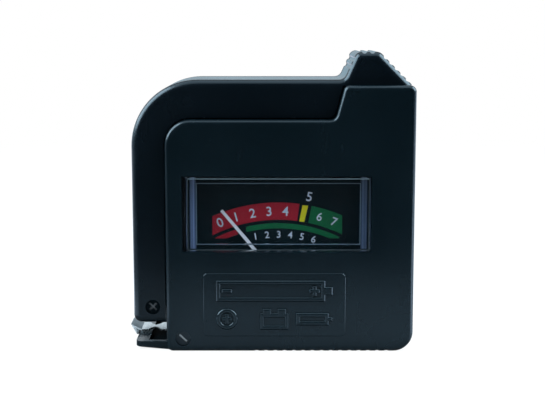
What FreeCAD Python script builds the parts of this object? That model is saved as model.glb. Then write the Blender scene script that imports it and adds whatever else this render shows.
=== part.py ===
import FreeCAD, Part
import math
import os
import re

import Sketcher
from FreeCAD import Placement, Rotation, Vector

# Pocket battery tester with a sliding arm. Lengths are millimetres and angles are degrees.
# X runs to the right, Z runs up. Depth is counted back from the front face along +Y.
SIZES = [
    ("overall_width", 58.8, "tip of the lower contact to the right side"),
    ("overall_height", 61.0, "base to the top of the thumb grip"),
    ("overall_depth", 24.0, "front face to rear face"),
    ("notch_tall", 6.4, "drop from the shoulder to the housing top left of the notch"),
    ("shoulder_drop", 1.5, "drop from the arm top to the shoulder"),
    ("shoulder_lip", 0.45, "rise of the front wall over the shoulder, in front of the arm"),
    ("notch_inset", 16.2, "foot of the notch from the right side"),
    ("notch_run", 1.8, "sideways run of the notch edge"),
    ("housing_corner", 5.2, "radius of the upper left housing corner"),
    ("base_corner", 4.0, "radius of the lower right housing corner"),
    ("small_corner", 1.3, "radius of the other housing corners"),
    ("edge_round", 1.0, "rounding of the housing's face edges"),
    ("arm_edge_round", 1.5, "rounding of the arm's face edges"),
    ("arm_corner", 1.6, "radius of the arm's smaller outline corners"),
    ("rear_depth", 6.3, "depth of the rear cover"),
    ("face_wall", 1.8, "thickness of the front and rear walls"),
    ("side_wall", 1.6, "thickness of the side walls"),
    ("slide_gap", 0.3, "clearance around the sliding arm"),
    ("overcut", 5.0, "run of a cutting shape past the outline"),
    ("seat_gap", 0.1, "clearance around pieces set into another"),
    ("bolt_gap", 0.03, "clearance around a screw in its hole"),
    ("panel_left_inset", 7.6, "raised panel from the left side"),
    ("panel_right_inset", 13.9, "raised panel from the right side"),
    ("panel_bottom", 3.3, "lower edge of the raised panel"),
    ("panel_tall", 13.1, "height of the raised panel"),
    ("panel_rise", 0.2, "height of the raised panel above the face"),
    ("panel_round", 0.16, "rounding of the raised panel's edges"),
    ("relief_rise", 0.42, "height of the cell pictures above the raised panel"),
    ("relief_round", 0.38, "rounding of the cell pictures' edges"),
    ("relief_line", 0.95, "line width of the cell pictures"),
    ("relief_margin", 2.6, "cell pictures from the panel's sides"),
    ("relief_gap", 1.4, "cell pictures from each other and from the panel's edges"),
    ("relief_nub", 1.5, "length of the raised end of a pictured cell"),
    ("relief_block", 6.0, "width of the pictured nine volt block"),
    ("relief_small", 7.6, "length of the pictured small cell"),
    ("panel_corner", 0.9, "corner radius of the raised panel"),
    ("base_groove_inset", 5.4, "first groove in the underside from the right side"),
    ("base_groove_pitch", 1.9, "spacing of the grooves in the underside"),
    ("base_groove_radius", 0.7, "radius of the grooves in the underside"),
    ("base_groove_deep", 0.25, "depth of the grooves in the underside"),
    ("base_groove_run", 5.0, "length of the grooves in the underside, from the front"),
    ("foot_width", 6.5, "reach of the foot left of the housing"),
    ("foot_tall", 1.7, "height of the foot"),
    ("foot_lift", 0.6, "rise of the underside of the foot at its left end"),
    ("foot_floor", 0.9, "height of the floor in the recess of the foot"),
    ("foot_lip", 1.2, "thickness of the lips around the recess"),
    ("foot_pad", 2.6, "width of the raised left end of the foot"),
    ("face_step", 2.0, "set back of the arm from the housing faces"),
    ("lip_reach", 1.4, "reach of the lower contact past the arm"),
    ("arm_width", 6.9, "reach of the arm left of the housing"),
    ("arm_bottom", 5.5, "lower end of the arm"),
    ("arm_wall", 1.5, "wall of the arm"),
    ("grip_rise", 5.55, "rise of the grip above the arm top"),
    ("slider_corner", 13.5, "radius of the upper left arm corner"),
    ("grip_foot_inset", 14.4, "foot of the left grip slope from the right side"),
    ("grip_left_inset", 11.9, "left end of the grip top from the right side"),
    ("grip_right_inset", 7.2, "right end of the grip top from the right side"),
    ("grip_fall", 6.5, "fall of the right grip slope"),
    ("grip_end_inset", 0.75, "set in of the arm's right end from the housing side"),
    ("groove_radius", 0.6, "radius of the grip grooves"),
    ("groove_lift", 0.25, "set out of the groove centres from the surface"),
    ("groove_pitch", 1.6, "spacing of the grip grooves"),
    ("grip_foot_wall", 1.95, "grip hollow from the foot of the left slope"),
    ("grip_end_wall", 2.9, "grip hollow from the arm's right end"),
    ("grip_left_wall", 1.05, "grip hollow from the left end of the grip top"),
    ("grip_right_wall", 0.6, "grip hollow from the right end of the grip top"),
    ("web_thickness", 2.4, "thickness of the arm's guide plate"),
    ("web_inset", 5.0, "guide plate from the right side"),
    ("tab_inset", 13.0, "left edge of the guide plate tab from the right side"),
    ("tab_bottom", 2.2, "lower edge of the tab under the guide plate"),
    ("stop_tall", 1.6, "height of the stop lug"),
    ("stop_rise", 1.0, "height of the stop lug above the guide plate"),
    ("rail_inset", 8.0, "middle of the guide rail from the right side"),
    ("rail_width", 4.8, "width of the guide rail"),
    ("rail_depth", 6.2, "depth of the guide rail"),
    ("rail_rise", 1.35, "rise of the guide rail above the arm top"),
    ("slot_depth", 4.3, "depth of the rail slot"),
    ("slot_lip", 1.3, "thickness of the lips of the rail slot"),
    ("slot_wide", 3.2, "width of the rail slot inside"),
    ("slot_neck", 1.8, "width of the rail slot at the rear"),
    ("runner_tall", 5.2, "height of the runner in the rail slot"),
    ("chassis_thickness", 1.7, "thickness of the chassis plate"),
    ("bus_inset", 12.0, "middle of the bus strip from the right side"),
    ("bus_width", 1.4, "width of the bus strip"),
    ("bus_reach", 5.2, "reach of the bus strip past the notch"),
    ("bus_thickness", 0.3, "thickness of the bus strip"),
    ("bus_rise", 3.35, "upper edge of the bus strip over the housing top"),
    ("brush_drop", 10.45, "lower end of the brush below the shoulder"),
    ("brush_base", 3.0, "length of the flat base of the brush"),
    ("brush_set", 2.15, "upper end of the brush below the shoulder"),
    ("brush_thickness", 0.3, "thickness of the brush"),
    ("brush_lift", 0.1, "clearance of the brush tip over the bus strip"),
    ("contact_width", 6.0, "width of the lower contact"),
    ("contact_thickness", 0.35, "thickness of the contact strips"),
    ("contact_level", 2.1, "underside of the lower contact"),
    ("contact_bend", 6.05, "reach of the flat lower contact from the housing"),
    ("lip_rise", 1.1, "rise of the turned up contact lip"),
    ("hook_grip", 0.35, "reach of the contact's hook below the top of the foot"),
    ("hook_end", 0.45, "width of the contact's hook at its end"),
    ("waist_x", 3.3, "distance of the contact waist from the housing"),
    ("waist_half", 0.9, "half length of the contact waist"),
    ("waist_width", 1.4, "width of the contact waist"),
    ("tail_tall", 9.0, "height of the contact's upright tail"),
    ("tail_set", 0.7, "set of the upright tail in the left wall"),
    ("dome_radius", 1.1, "radius of the arm contact dome"),
    ("arm_contact_width", 3.8, "size of the arm contact across"),
    ("arm_contact_depth", 6.0, "size of the arm contact front to rear"),
    ("arm_contact_tail", 11.0, "upper end of the arm contact's tail"),
    ("window_left_inset", 3.35, "meter opening from the left side"),
    ("window_right_inset", 8.8, "meter opening from the right side"),
    ("window_bottom", 20.7, "lower edge of the meter opening"),
    ("window_drop", 11.35, "meter opening from the housing top"),
    ("cover_gap", 0.2, "gap between the window and its opening"),
    ("cover_left_gap", 0.95, "gap left of the window"),
    ("cover_end_wall", 1.9, "left and right wall of the clear window"),
    ("cover_wall", 1.2, "other walls of the clear window"),
    ("cover_set", 0.1, "set back of the window from the front face"),
    ("cover_round", 0.3, "rounding of the window's front edges"),
    ("skirt_left_inset", 2.2, "window skirt from the left side"),
    ("skirt_right_inset", 6.9, "window skirt from the right side"),
    ("skirt_bottom", 5.7, "lower side of the window skirt"),
    ("skirt_over", 1.3, "window skirt over the meter opening"),
    ("skirt_wall", 1.0, "wall of the window skirt"),
    ("skirt_rear", 8.2, "depth of the rear of the window skirt"),
    ("frame_plate", 1.2, "thickness of the meter frame plate"),
    ("pivot_offset", 0.525, "meter pivot right of the middle of the opening"),
    ("pivot_z", 14.5, "meter pivot height"),
    ("rest_angle", 40.0, "lean of the pointer at rest"),
    ("sweep_angle", 80.0, "sweep of the pointer"),
    ("tip_room", 1.9, "room over the pointer tip"),
    ("pointer_width", 0.75, "width of the pointer at the hub"),
    ("pointer_tip", 0.6, "width of the pointer at the tip"),
    ("pointer_thickness", 0.25, "thickness of the pointer"),
    ("pointer_depth", 5.0, "depth of the pointer"),
    ("tail_length", 4.6, "length of the pointer tail"),
    ("weight_width", 1.6, "width of the counterweight"),
    ("weight_tall", 1.2, "height of the counterweight"),
    ("weight_thickness", 0.5, "thickness of the counterweight"),
    ("hub_radius", 1.0, "radius of the pointer hub"),
    ("hub_length", 0.7, "length of the pointer hub"),
    ("staff_radius", 0.35, "radius of the pivot stubs"),
    ("tip_radius", 0.2, "radius of the pivot tips"),
    ("tip_length", 0.9, "length of the pivot tips"),
    ("tip_gap", 0.05, "clearance around the pivot tips"),
    ("staff_front", 4.0, "depth of the front pivot tip"),
    ("staff_room", 0.4, "rear pivot tip from the rear of the cup"),
    ("coil_front", 7.2, "depth of the front of the coil"),
    ("coil_room", 1.9, "coil from the rear of the cup"),
    ("coil_half", 4.9, "half width of the coil"),
    ("coil_wall", 0.8, "thickness of the coil winding"),
    ("coil_band", 1.6, "band of the coil winding"),
    ("core_radius", 3.6, "radius of the iron core"),
    ("core_set", 0.4, "how much shorter the core is than the ring"),
    ("core_arm", 1.6, "width of the core arms"),
    ("magnet_bore", 5.4, "bore between the pole magnets"),
    ("magnet_angle", 112.0, "arc of each pole magnet"),
    ("ring_bore", 6.9, "bore of the iron ring"),
    ("ring_radius", 8.2, "radius of the iron ring"),
    ("ring_front", 8.4, "depth of the front of the iron ring"),
    ("ring_room", 3.1, "iron ring from the rear of the cup"),
    ("cup_radius", 9.3, "radius of the meter frame cup"),
    ("cup_bore", 6.4, "bore of the rear of the cup"),
    ("cup_room", 0.5, "cup from the chassis plate"),
    ("bridge_width", 2.6, "width of the bearing bridges"),
    ("bridge_thickness", 0.7, "thickness of the bearing bridges"),
    ("front_bridge_depth", 3.5, "depth of the front bridge"),
    ("front_bridge_half", 8.6, "half length of the front bridge"),
    ("rear_bridge_half", 7.6, "half length of the rear bridge"),
    ("bridge_room", 0.9, "rear bridge from the rear of the cup"),
    ("jewel_radius", 0.8, "radius of the bearing screws"),
    ("jewel_length", 1.5, "length of the bearing screws"),
    ("spring_inner", 0.55, "inner radius of the hairsprings"),
    ("spring_outer", 2.6, "outer radius of the hairsprings"),
    ("spring_turns", 4.0, "turns of the hairsprings"),
    ("spring_band", 0.12, "thickness of the hairspring band"),
    ("spring_width", 0.3, "width of the hairspring band"),
    ("front_spring_depth", 6.3, "depth of the front hairspring"),
    ("spring_room", 0.3, "rear hairspring from the coil"),
    ("dial_depth", 6.1, "depth of the dial plate"),
    ("dial_thickness", 0.4, "thickness of the dial plate"),
    ("dial_bottom", 20.3, "lower edge of the dial plate"),
    ("dial_margin", 0.6, "gap between the dial plate and the skirt"),
    ("stop_reach", 7.5, "distance of the pointer stops from the pivot"),
    ("stop_clear", 6.5, "lean of the pointer stops past the ends of the sweep"),
    ("stop_radius", 0.3, "radius of the pointer stops"),
    ("stop_front", 4.7, "depth of the front of the pointer stops"),
    ("post_radius", 1.4, "radius of the chassis posts"),
    ("post_left_inset", 3.4, "left chassis posts from the skirt"),
    ("post_right_set", 13.05, "right chassis posts from the pivot"),
    ("post_low", 9.2, "lower chassis posts"),
    ("post_drop", 3.0, "upper chassis posts from the skirt"),
    ("boss_radius", 1.75, "radius of the screw bosses"),
    ("thread_radius", 0.8, "radius of the screw shanks"),
    ("head_radius", 1.45, "radius of the screw heads"),
    ("head_thickness", 0.9, "thickness of the screw heads"),
    ("head_sink", 0.35, "set of the screw heads below the face"),
    ("head_gap", 0.08, "clearance around the screw heads"),
    ("cross_width", 0.45, "width of the cross slot in the screw heads"),
    ("cross_length", 2.1, "length of the cross slot in the screw heads"),
    ("cross_sink", 0.5, "depth of the cross slot in the screw heads"),
    ("case_bolt_x", 3.4, "case screw from the housing's left side"),
    ("case_bolt_z", 2.75, "height of the front case screw"),
    ("side_bolt_gap", 0.2, "heads of the right hand screws from the inside of the right wall"),
    ("side_bolt_low", 4.4, "height of the lower rear case screw"),
    ("side_bolt_drop", 3.35, "upper rear case screw below the shoulder"),
    ("bolt_end", 2.6, "plastic left at the end of the rear case screws"),
    ("chassis_bolt_x", 4.6, "chassis screw from the housing's left side"),
    ("chassis_bolt_drop", 6.35, "left chassis screw below the housing top"),
    ("chassis_side_z", 28.0, "height of the right chassis screw"),
    ("chassis_bolt_length", 8.0, "length of the chassis screws"),
    ("arm_bolt_x", 4.0, "arm screw from the arm's left side"),
    ("arm_bolt_z", 8.9, "height of the lower arm screw"),
    ("arm_top_bolt_drop", 2.95, "upper arm screw below the arm top"),
    ("arm_top_bolt_set", 17.1, "upper arm screw from the left side"),
    ("arm_bolt_cover", 1.25, "plastic over the end of the lower arm screw"),
    ("load_set", 7.45, "middle of the load resistor left of the pivot"),
    ("load_radius", 1.7, "radius of the load resistor"),
    ("load_length", 9.0, "length of the load resistor"),
    ("resistor_drop", 5.75, "resistors below the housing top"),
    ("small_radius", 1.1, "radius of the small resistors"),
    ("small_length", 6.0, "length of the small resistors"),
    ("series_depth", 5.5, "depth of the series resistor"),
    ("dropper_room", 3.5, "dropping resistor from the chassis plate"),
    ("lead_radius", 0.3, "radius of the resistor leads"),
    ("lead_length", 2.2, "length of the resistor leads"),
    ("terminal_x", 9.5, "meter terminals from the pivot"),
    ("terminal_drop", 2.5, "meter terminals from the skirt"),
    ("terminal_radius", 0.6, "radius of the meter terminals"),
    ("terminal_room", 5.2, "meter terminals from the chassis plate"),
    ("wire_radius", 0.45, "radius of the hook-up wires"),
    ("bend_radius", 1.2, "bend radius of the hook-up wires"),
    ("block_inset", 18.3, "middle of the nine volt contacts from the right side"),
    ("block_pitch", 12.7, "spacing of the nine volt contacts"),
    ("block_room", 6.5, "nine volt contacts from the chassis plate"),
    ("stud_radius", 2.6, "radius of the nine volt contacts"),
    ("stud_sink", 0.5, "set of the nine volt contacts above the base"),
    ("stud_flange", 0.7, "reach of the flange of the nine volt contacts"),
    ("stud_thickness", 0.6, "thickness of the flange of the nine volt contacts"),
]
# Places and lengths that follow from the sizes.
PLACES = [
    ("body_width", "overall_width - arm_width - lip_reach"),
    ("right_side", "overall_width / 2"),
    ("left_side", "right_side - body_width"),
    ("arm_left", "left_side - arm_width"),
    ("arm_right", "right_side - grip_end_inset"),
    ("slider_height", "overall_height - grip_rise"),
    ("grip_end_height", "overall_height - grip_fall"),
    ("shoulder_height", "slider_height - shoulder_drop"),
    ("housing_height", "shoulder_height - notch_tall"),
    ("front_face", "-overall_depth / 2"),
    ("front_depth", "overall_depth - rear_depth"),
    ("cover_inner", "overall_depth - face_wall"),
    ("chassis_front", "front_depth - chassis_thickness"),
    ("arm_split", "front_depth + slide_gap"),
    ("arm_rear", "overall_depth - face_step"),
    ("web_rear", "arm_split + web_thickness"),
    ("channel_rear", "web_rear + slide_gap"),
    ("notch_x", "right_side - notch_inset"),
    ("panel_left", "left_side + panel_left_inset"),
    ("panel_right", "right_side - panel_right_inset"),
    ("relief_tall", "(panel_tall - 3 * relief_gap) / 2"),
    ("relief_left", "panel_left + relief_margin"),
    ("relief_right", "panel_right - relief_margin"),
    ("relief_low", "panel_bottom + relief_gap"),
    ("relief_high", "relief_low + relief_tall + relief_gap"),
    ("grip_foot_x", "right_side - grip_foot_inset"),
    ("grip_left_x", "right_side - grip_left_inset"),
    ("grip_right_x", "right_side - grip_right_inset"),
    ("web_right", "right_side - web_inset"),
    ("tab_left", "right_side - tab_inset"),
    ("rail_x", "right_side - rail_inset"),
    ("rail_left", "rail_x - rail_width / 2"),
    ("rail_right", "rail_x + rail_width / 2"),
    ("rail_front", "front_depth - rail_depth"),
    ("rail_top", "slider_height + rail_rise"),
    ("slot_floor", "front_depth - slot_depth"),
    ("slot_step", "front_depth - slot_lip"),
    ("bus_x", "right_side - bus_inset"),
    ("bus_left", "notch_x - bus_reach"),
    ("bus_top", "housing_height + bus_rise"),
    ("brush_low", "shoulder_height - brush_drop"),
    ("brush_high", "shoulder_height - brush_set"),
    ("contact_front", "(overall_depth - contact_width) / 2"),
    ("window_left", "left_side + window_left_inset"),
    ("window_right", "right_side - window_right_inset"),
    ("window_top", "housing_height - window_drop"),
    ("skirt_left", "left_side + skirt_left_inset"),
    ("skirt_right", "right_side - skirt_right_inset"),
    ("skirt_top", "window_top + skirt_over"),
    ("plate_front", "skirt_rear - frame_plate"),
    ("pivot_x", "(window_left + window_right) / 2 + pivot_offset"),
    ("pointer_length", "window_top - cover_gap - cover_wall - pivot_z - tip_room"),
    ("cup_rear", "chassis_front - cup_room"),
    ("staff_rear", "cup_rear - staff_room"),
    ("coil_length", "cup_rear - coil_front - coil_room"),
    ("coil_rear", "coil_front + coil_length"),
    ("ring_length", "cup_rear - ring_front - ring_room"),
    ("core_length", "ring_length - core_set"),
    ("rear_bridge_depth", "cup_rear - bridge_room"),
    ("rear_spring_depth", "coil_rear + spring_room"),
    ("post_left", "skirt_left + post_left_inset"),
    ("post_right", "pivot_x + post_right_set"),
    ("post_high", "skirt_top - post_drop"),
    ("side_bolt_high", "shoulder_height - side_bolt_drop"),
    ("chassis_bolt_z", "housing_height - chassis_bolt_drop"),
    ("arm_top_bolt_z", "slider_height - arm_top_bolt_drop"),
    ("arm_top_bolt_x", "left_side + arm_top_bolt_set"),
    ("arm_bolt_length", "arm_rear - face_step - head_sink - head_thickness - arm_bolt_cover"),
    ("load_x", "pivot_x - load_set"),
    ("dropper_depth", "chassis_front - dropper_room"),
    ("load_depth", "(series_depth + dropper_depth) / 2"),
    ("resistor_level", "housing_height - resistor_drop"),
    ("terminal_z", "skirt_top - terminal_drop"),
    ("terminal_length", "chassis_front - skirt_rear - terminal_room"),
    ("block_x", "right_side - block_inset"),
    ("block_depth", "chassis_front - block_room"),
]
NAMES = {name: "sizes" for name, _, _ in SIZES}
NAMES.update({name: "places" for name, _ in PLACES})
WORD = re.compile(r"[a-z]+(?:_[a-z]+)*")

SKETCH_REACH = 10.0
SKETCH_STEP = 3.0
CORNER_FLATS = 6
SPRING_STEPS = 16
TOP_GROOVES = (-0.5, 0.5)
RIGHT_GROOVES = 5
LEFT_GROOVES = 2
BASE_GROOVES = 15
NEAR = 1e-5
SLANT = "sqrt(1 + (notch_run / (shoulder_height - housing_height)) ^ 2)"
FRONT_BOLT = ("(left_side + case_bolt_x)", "case_bolt_z")
SIDE_BOLT = "(right_side - side_wall - side_bolt_gap - head_radius)"
CHASSIS_BOLTS = [("(left_side + chassis_bolt_x)", "chassis_bolt_z"), (SIDE_BOLT, "chassis_side_z")]
ARM_BOLTS = [("(arm_left + arm_bolt_x)", "arm_bolt_z"), ("arm_top_bolt_x", "arm_top_bolt_z")]
SINGLE_SLOT = (45,)
CROSS_SLOTS = (45, 135)
BUTTON_CELL = ("(relief_left + relief_tall / 2)", "(relief_low + relief_tall / 2)")
STUD_XS = ["(block_x - block_pitch / 2)", "(block_x + block_pitch / 2)"]

doc = FreeCAD.newDocument("battery_tester")
sheet = doc.addObject("Spreadsheet::Sheet", "sizes")
for row, (name, number, note) in enumerate(SIZES, 1):
    sheet.set(f"A{row}", name)
    sheet.set(f"B{row}", str(number))
    sheet.set(f"C{row}", note)
    sheet.setAlias(f"B{row}", name)
doc.recompute()

places = doc.addObject("App::VarSet", "places")
pieces = []


def size(name):
    """Value of a named size or place."""
    return float(sheet.get(name)) if NAMES[name] == "sizes" else getattr(places, name)


def full_name(word):
    name = word.group()
    return f"{NAMES[name]}.{name}" if name in NAMES else name


def bind(thing, path, formula):
    """Drive one property by a formula of the named sizes."""
    thing.setExpression(path, WORD.sub(full_name, formula))


for name, formula in PLACES:
    places.addProperty("App::PropertyFloat", name)
    bind(places, name, formula)
doc.recompute()


def keep(thing, label):
    """Hand in an object as a sub-part."""
    thing.Label = label
    pieces.append(thing)
    return thing


def new_body(label):
    body = doc.addObject("PartDesign::Body", label)
    bind(body, "Placement.Base.y", "front_face")
    return keep(body, label)


def new_sketch(body, name, plane, start):
    sketch = body.newObject("Sketcher::SketchObject", f"{body.Name}_{name}_sketch")
    support = next(item for item in body.Origin.OriginFeatures if item.Role == plane)
    sketch.AttachmentSupport = [(support, "")]
    sketch.MapMode = "FlatFace"
    bind(sketch, "AttachmentOffset.Base.z", f"-({start})" if plane == "XZ_Plane" else start)
    return sketch


def fix_point(sketch, geometry, position, place):
    for kind, formula in zip(("DistanceX", "DistanceY"), place):
        number = sketch.addConstraint(Sketcher.Constraint(kind, -1, 1, geometry, position, 1.0))
        bind(sketch, f"Constraints[{number}]", formula)


def draw_polygon(sketch, corners):
    count = len(corners)
    angles = [2 * math.pi * index / count for index in range(count)]
    points = [Vector(math.cos(angle), math.sin(angle), 0) * SKETCH_REACH for angle in angles]
    first = sketch.GeometryCount
    for index in range(count):
        sketch.addGeometry(Part.LineSegment(points[index], points[(index + 1) % count]))
    for index in range(count):
        after = first + (index + 1) % count
        sketch.addConstraint(Sketcher.Constraint("Coincident", first + index, 2, after, 1))
    for index, place in enumerate(corners):
        fix_point(sketch, first + index, 1, place)


def draw_circles(sketch, centres, radius):
    for index, place in enumerate(centres):
        start = Vector(SKETCH_STEP * index, SKETCH_STEP, 0)
        number = sketch.addGeometry(Part.Circle(start, Vector(0, 0, 1), 1.0))
        limit = sketch.addConstraint(Sketcher.Constraint("Radius", number, 1.0))
        bind(sketch, f"Constraints[{limit}]", radius)
        fix_point(sketch, number, 3, place)


def rectangle(left, low, right, high):
    return [(left, low), (right, low), (right, high), (left, high)]


def extrude(body, name, sketch, length, cut):
    """Pad or pocket a sketch along the positive axis."""
    kind = "PartDesign::Pocket" if cut else "PartDesign::Pad"
    feature = body.newObject(kind, f"{body.Name}_{name}")
    feature.Profile = sketch
    in_front_plane = sketch.AttachmentSupport[0][0].Role == "XZ_Plane"
    feature.Reversed = in_front_plane != cut
    bind(feature, "Length", length)
    doc.recompute()
    return feature


def add_shape(body, name, corners, start, length, plane="XZ_Plane", cut=False):
    sketch = new_sketch(body, name, plane, start)
    draw_polygon(sketch, corners)
    return extrude(body, name, sketch, length, cut)


def cut_shape(body, name, corners, start, length, plane="XZ_Plane"):
    return add_shape(body, name, corners, start, length, plane, True)


def add_rounds(body, name, centres, radius, start, length, plane="XZ_Plane", cut=False):
    sketch = new_sketch(body, name, plane, start)
    draw_circles(sketch, centres, radius)
    return extrude(body, name, sketch, length, cut)


def cut_rounds(body, name, centres, radius, start, length, plane="XZ_Plane"):
    return add_rounds(body, name, centres, radius, start, length, plane, True)


def round_edges(body, name, edges, radius):
    base = body.Tip
    feature = body.newObject("PartDesign::Fillet", f"{body.Name}_{name}")
    feature.Base = (base, edges)
    bind(feature, "Radius", radius)
    doc.recompute()
    return feature


def corner_edges(body, feature, indices):
    """Names of the edges that stand on the given corners of a feature's sketch."""
    sketch = feature.Profile[0]
    found = []
    for index in indices:
        corner = sketch.Placement.multVec(sketch.Geometry[index].StartPoint)
        normal = sketch.Placement.Rotation.multVec(Vector(0, 0, 1))
        for number, edge in enumerate(body.Tip.Shape.Edges, 1):
            ends = [vertex.Point - corner for vertex in edge.Vertexes]
            if len(ends) == 2 and all(end.cross(normal).Length < NEAR for end in ends):
                found.append(f"Edge{number}")
    return found


def round_corners(body, name, feature, indices, radius):
    return round_edges(body, name, corner_edges(body, feature, indices), radius)


def face_edges(body, depth):
    """Names of the edges that lie flat in one plane of depth."""
    found = []
    for number, edge in enumerate(body.Tip.Shape.Edges, 1):
        box = edge.BoundBox
        if abs(box.YMin - depth) < NEAR and abs(box.YMax - depth) < NEAR:
            found.append(f"Edge{number}")
    return found


def place(thing, x, depth, z, rotation=Rotation()):
    thing.Placement = Placement(Vector(0, 0, 0), rotation)
    bind(thing, "Placement.Base.x", x)
    bind(thing, "Placement.Base.y", f"front_face + {depth}")
    bind(thing, "Placement.Base.z", z)
    return thing


def box(name, x, depth, z, across, deep, tall):
    solid = doc.addObject("Part::Box", name)
    bind(solid, "Length", across)
    bind(solid, "Width", deep)
    bind(solid, "Height", tall)
    return place(solid, x, depth, z)


ALONG_X = Rotation(Vector(0, 1, 0), 90)
ALONG_Y = Rotation(Vector(1, 0, 0), -90)
ALONG_Z = Rotation()


def rod(name, x, depth, z, radius, length, along=ALONG_Y):
    solid = doc.addObject("Part::Cylinder", name)
    bind(solid, "Radius", radius)
    bind(solid, "Height", length)
    return place(solid, x, depth, z, along)


def fuse(name, solids):
    result = doc.addObject("Part::MultiFuse", name)
    result.Shapes = solids
    return result


def cut(name, base, tool):
    result = doc.addObject("Part::Cut", name)
    result.Base = base
    result.Tool = tool
    return result


def group(name, solids):
    result = doc.addObject("Part::Compound", name)
    result.Links = solids
    return result


def screw(name, x, z, head_front, length, faces_front=True, slots=CROSS_SLOTS):
    """Slotted screw along the depth, its head at the front or at the rear end."""
    shank_start = f"{head_front} + head_thickness" if faces_front else f"{head_front} - {length}"
    slot_start = head_front if faces_front else f"{head_front} + head_thickness - cross_sink"
    head = rod(f"{name}_head", x, head_front, z, "head_radius", "head_thickness")
    shank = rod(f"{name}_shank", x, shank_start, z, "thread_radius", length)
    whole = fuse(f"{name}_whole", [head, shank])
    arms = []
    for index, lean in enumerate(slots):
        arm = doc.addObject("Part::Box", f"{name}_slot_{index}")
        bind(arm, "Length", "cross_length")
        bind(arm, "Width", "cross_sink")
        bind(arm, "Height", "cross_width")
        turn = Rotation(Vector(0, 1, 0), lean)
        place(arm, x, slot_start, z, turn)
        middle = turn.multVec(Vector(-1, 0, 0))
        upright = turn.multVec(Vector(0, 0, -1))
        for axis, along, over in (("x", middle.x, upright.x), ("z", middle.z, upright.z)):
            centre = x if axis == "x" else z
            shift = f"{centre} + cross_length / 2 * ({along:.6f}) + cross_width / 2 * ({over:.6f})"
            bind(arm, f"Placement.Base.{axis}", shift)
        arms.append(arm)
    slot = arms[0] if len(arms) == 1 else fuse(f"{name}_cross", arms)
    return cut(name, whole, slot)


def housing_corners(inset="0", lip="0"):
    """Outline of the housing, set in by a wall or out by a negative one, its shoulder raised by a lip."""
    slope = f"{inset} * {SLANT}"
    top = f"housing_height - {inset}"
    shoulder = f"shoulder_height - {inset} + {lip}"
    lean = "notch_run / (shoulder_height - housing_height)"
    return [
        (f"left_side + {inset}", inset),
        (f"right_side - {inset}", inset),
        (f"right_side - {inset}", shoulder),
        (f"notch_x + notch_run + {slope} + ({lip} - {inset}) * {lean}", shoulder),
        (f"notch_x + {slope} - {inset} * {lean}", top),
        (f"left_side + {inset}", top),
    ]


def round_housing(body, feature):
    round_corners(body, "small_rounds", feature, (0, 2), "small_corner")
    round_corners(body, "base_round", feature, (1,), "base_corner")
    round_corners(body, "notch_rounds", feature, (3, 4), "small_corner")
    round_corners(body, "top_round", feature, (5,), "housing_corner")


def cross_corners(x, z, reach):
    """Outline of a plus sign."""
    half = "relief_line / 2"
    right = [(f"{x} + {half}", f"{z} - {half}"), (f"{x} + {reach}", f"{z} - {half}")]
    right += [(f"{x} + {reach}", f"{z} + {half}"), (f"{x} + {half}", f"{z} + {half}")]
    top = [(f"{x} + {half}", f"{z} + {reach}"), (f"{x} - {half}", f"{z} + {reach}")]
    left = [(f"{x} - {half}", f"{z} + {half}"), (f"{x} - {reach}", f"{z} + {half}")]
    left += [(f"{x} - {reach}", f"{z} - {half}"), (f"{x} - {half}", f"{z} - {half}")]
    bottom = [(f"{x} - {half}", f"{z} - {reach}"), (f"{x} + {half}", f"{z} - {reach}")]
    return right + top + left + bottom


def add_relief(body, name, outlines, circles=()):
    """Raised lines on the panel, each closed outline given inside or beside another."""
    sketch = new_sketch(body, name, "XZ_Plane", "-(panel_rise + relief_rise)")
    for outline in outlines:
        draw_polygon(sketch, outline)
    for radius in circles:
        draw_circles(sketch, [BUTTON_CELL], radius)
    extrude(body, name, sketch, "panel_rise + relief_rise + face_wall / 2", False)


def framed(left, low, right, high):
    """Outline of a picture's frame and of the field inside it."""
    line = "relief_line"
    inner = rectangle(f"{left} + {line}", f"{low} + {line}", f"{right} - {line}", f"{high} - {line}")
    return [rectangle(left, low, right, high), inner]


def add_foot(body, start, rear, lip_front, lip_rear):
    """Foot that reaches out under the arm, with a recess below the lower contact."""
    left = "(left_side - foot_width)"
    outline = rectangle(left, start, "left_side + side_wall", rear)
    foot = add_shape(body, "foot", outline, "0", "foot_tall", "XY_Plane")
    corner = (0,) if lip_front != "0" else (3,)
    round_corners(body, "foot_round", foot, corner, "small_corner")
    recess = rectangle(f"{left} + foot_pad", f"{start} + {lip_front}", "left_side", f"{rear} - {lip_rear}")
    cut_shape(body, "foot_recess", recess, "foot_floor", "foot_tall", "XY_Plane")
    under_foot = [(f"{left} - overcut", "0"), ("left_side", "0")]
    under_foot += [(left, "foot_lift"), (f"{left} - overcut", "foot_lift")]
    cut_shape(body, "foot_slope", under_foot, start, f"{rear} - {start}")


# Front housing: the face, its side walls, the foot, the bosses and the meter opening.
front_housing = new_body("front_housing")
shell = add_shape(front_housing, "shell", housing_corners(lip="shoulder_lip"), "0", "front_depth")
round_housing(front_housing, shell)
round_edges(front_housing, "face_round", face_edges(front_housing, 0.0), "edge_round")
arm_seat = rectangle("notch_x", "shoulder_height", "right_side + overcut", "shoulder_height + overcut")
cut_shape(front_housing, "arm_seat", arm_seat, "face_step - slide_gap", "front_depth")
hollow = cut_shape(front_housing, "hollow", housing_corners("side_wall"), "face_wall", "front_depth")
round_corners(front_housing, "hollow_top_round", hollow, (5,), "housing_corner - side_wall")
round_corners(front_housing, "hollow_base_round", hollow, (1,), "base_corner - side_wall")
panel = rectangle("panel_left", "panel_bottom", "panel_right", "panel_bottom + panel_tall")
panel_pad = add_shape(front_housing, "panel", panel, "-panel_rise", "panel_rise + face_wall")
round_corners(front_housing, "panel_corners", panel_pad, (0, 1, 2, 3), "panel_corner")
panel_face = -size("panel_rise")
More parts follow.
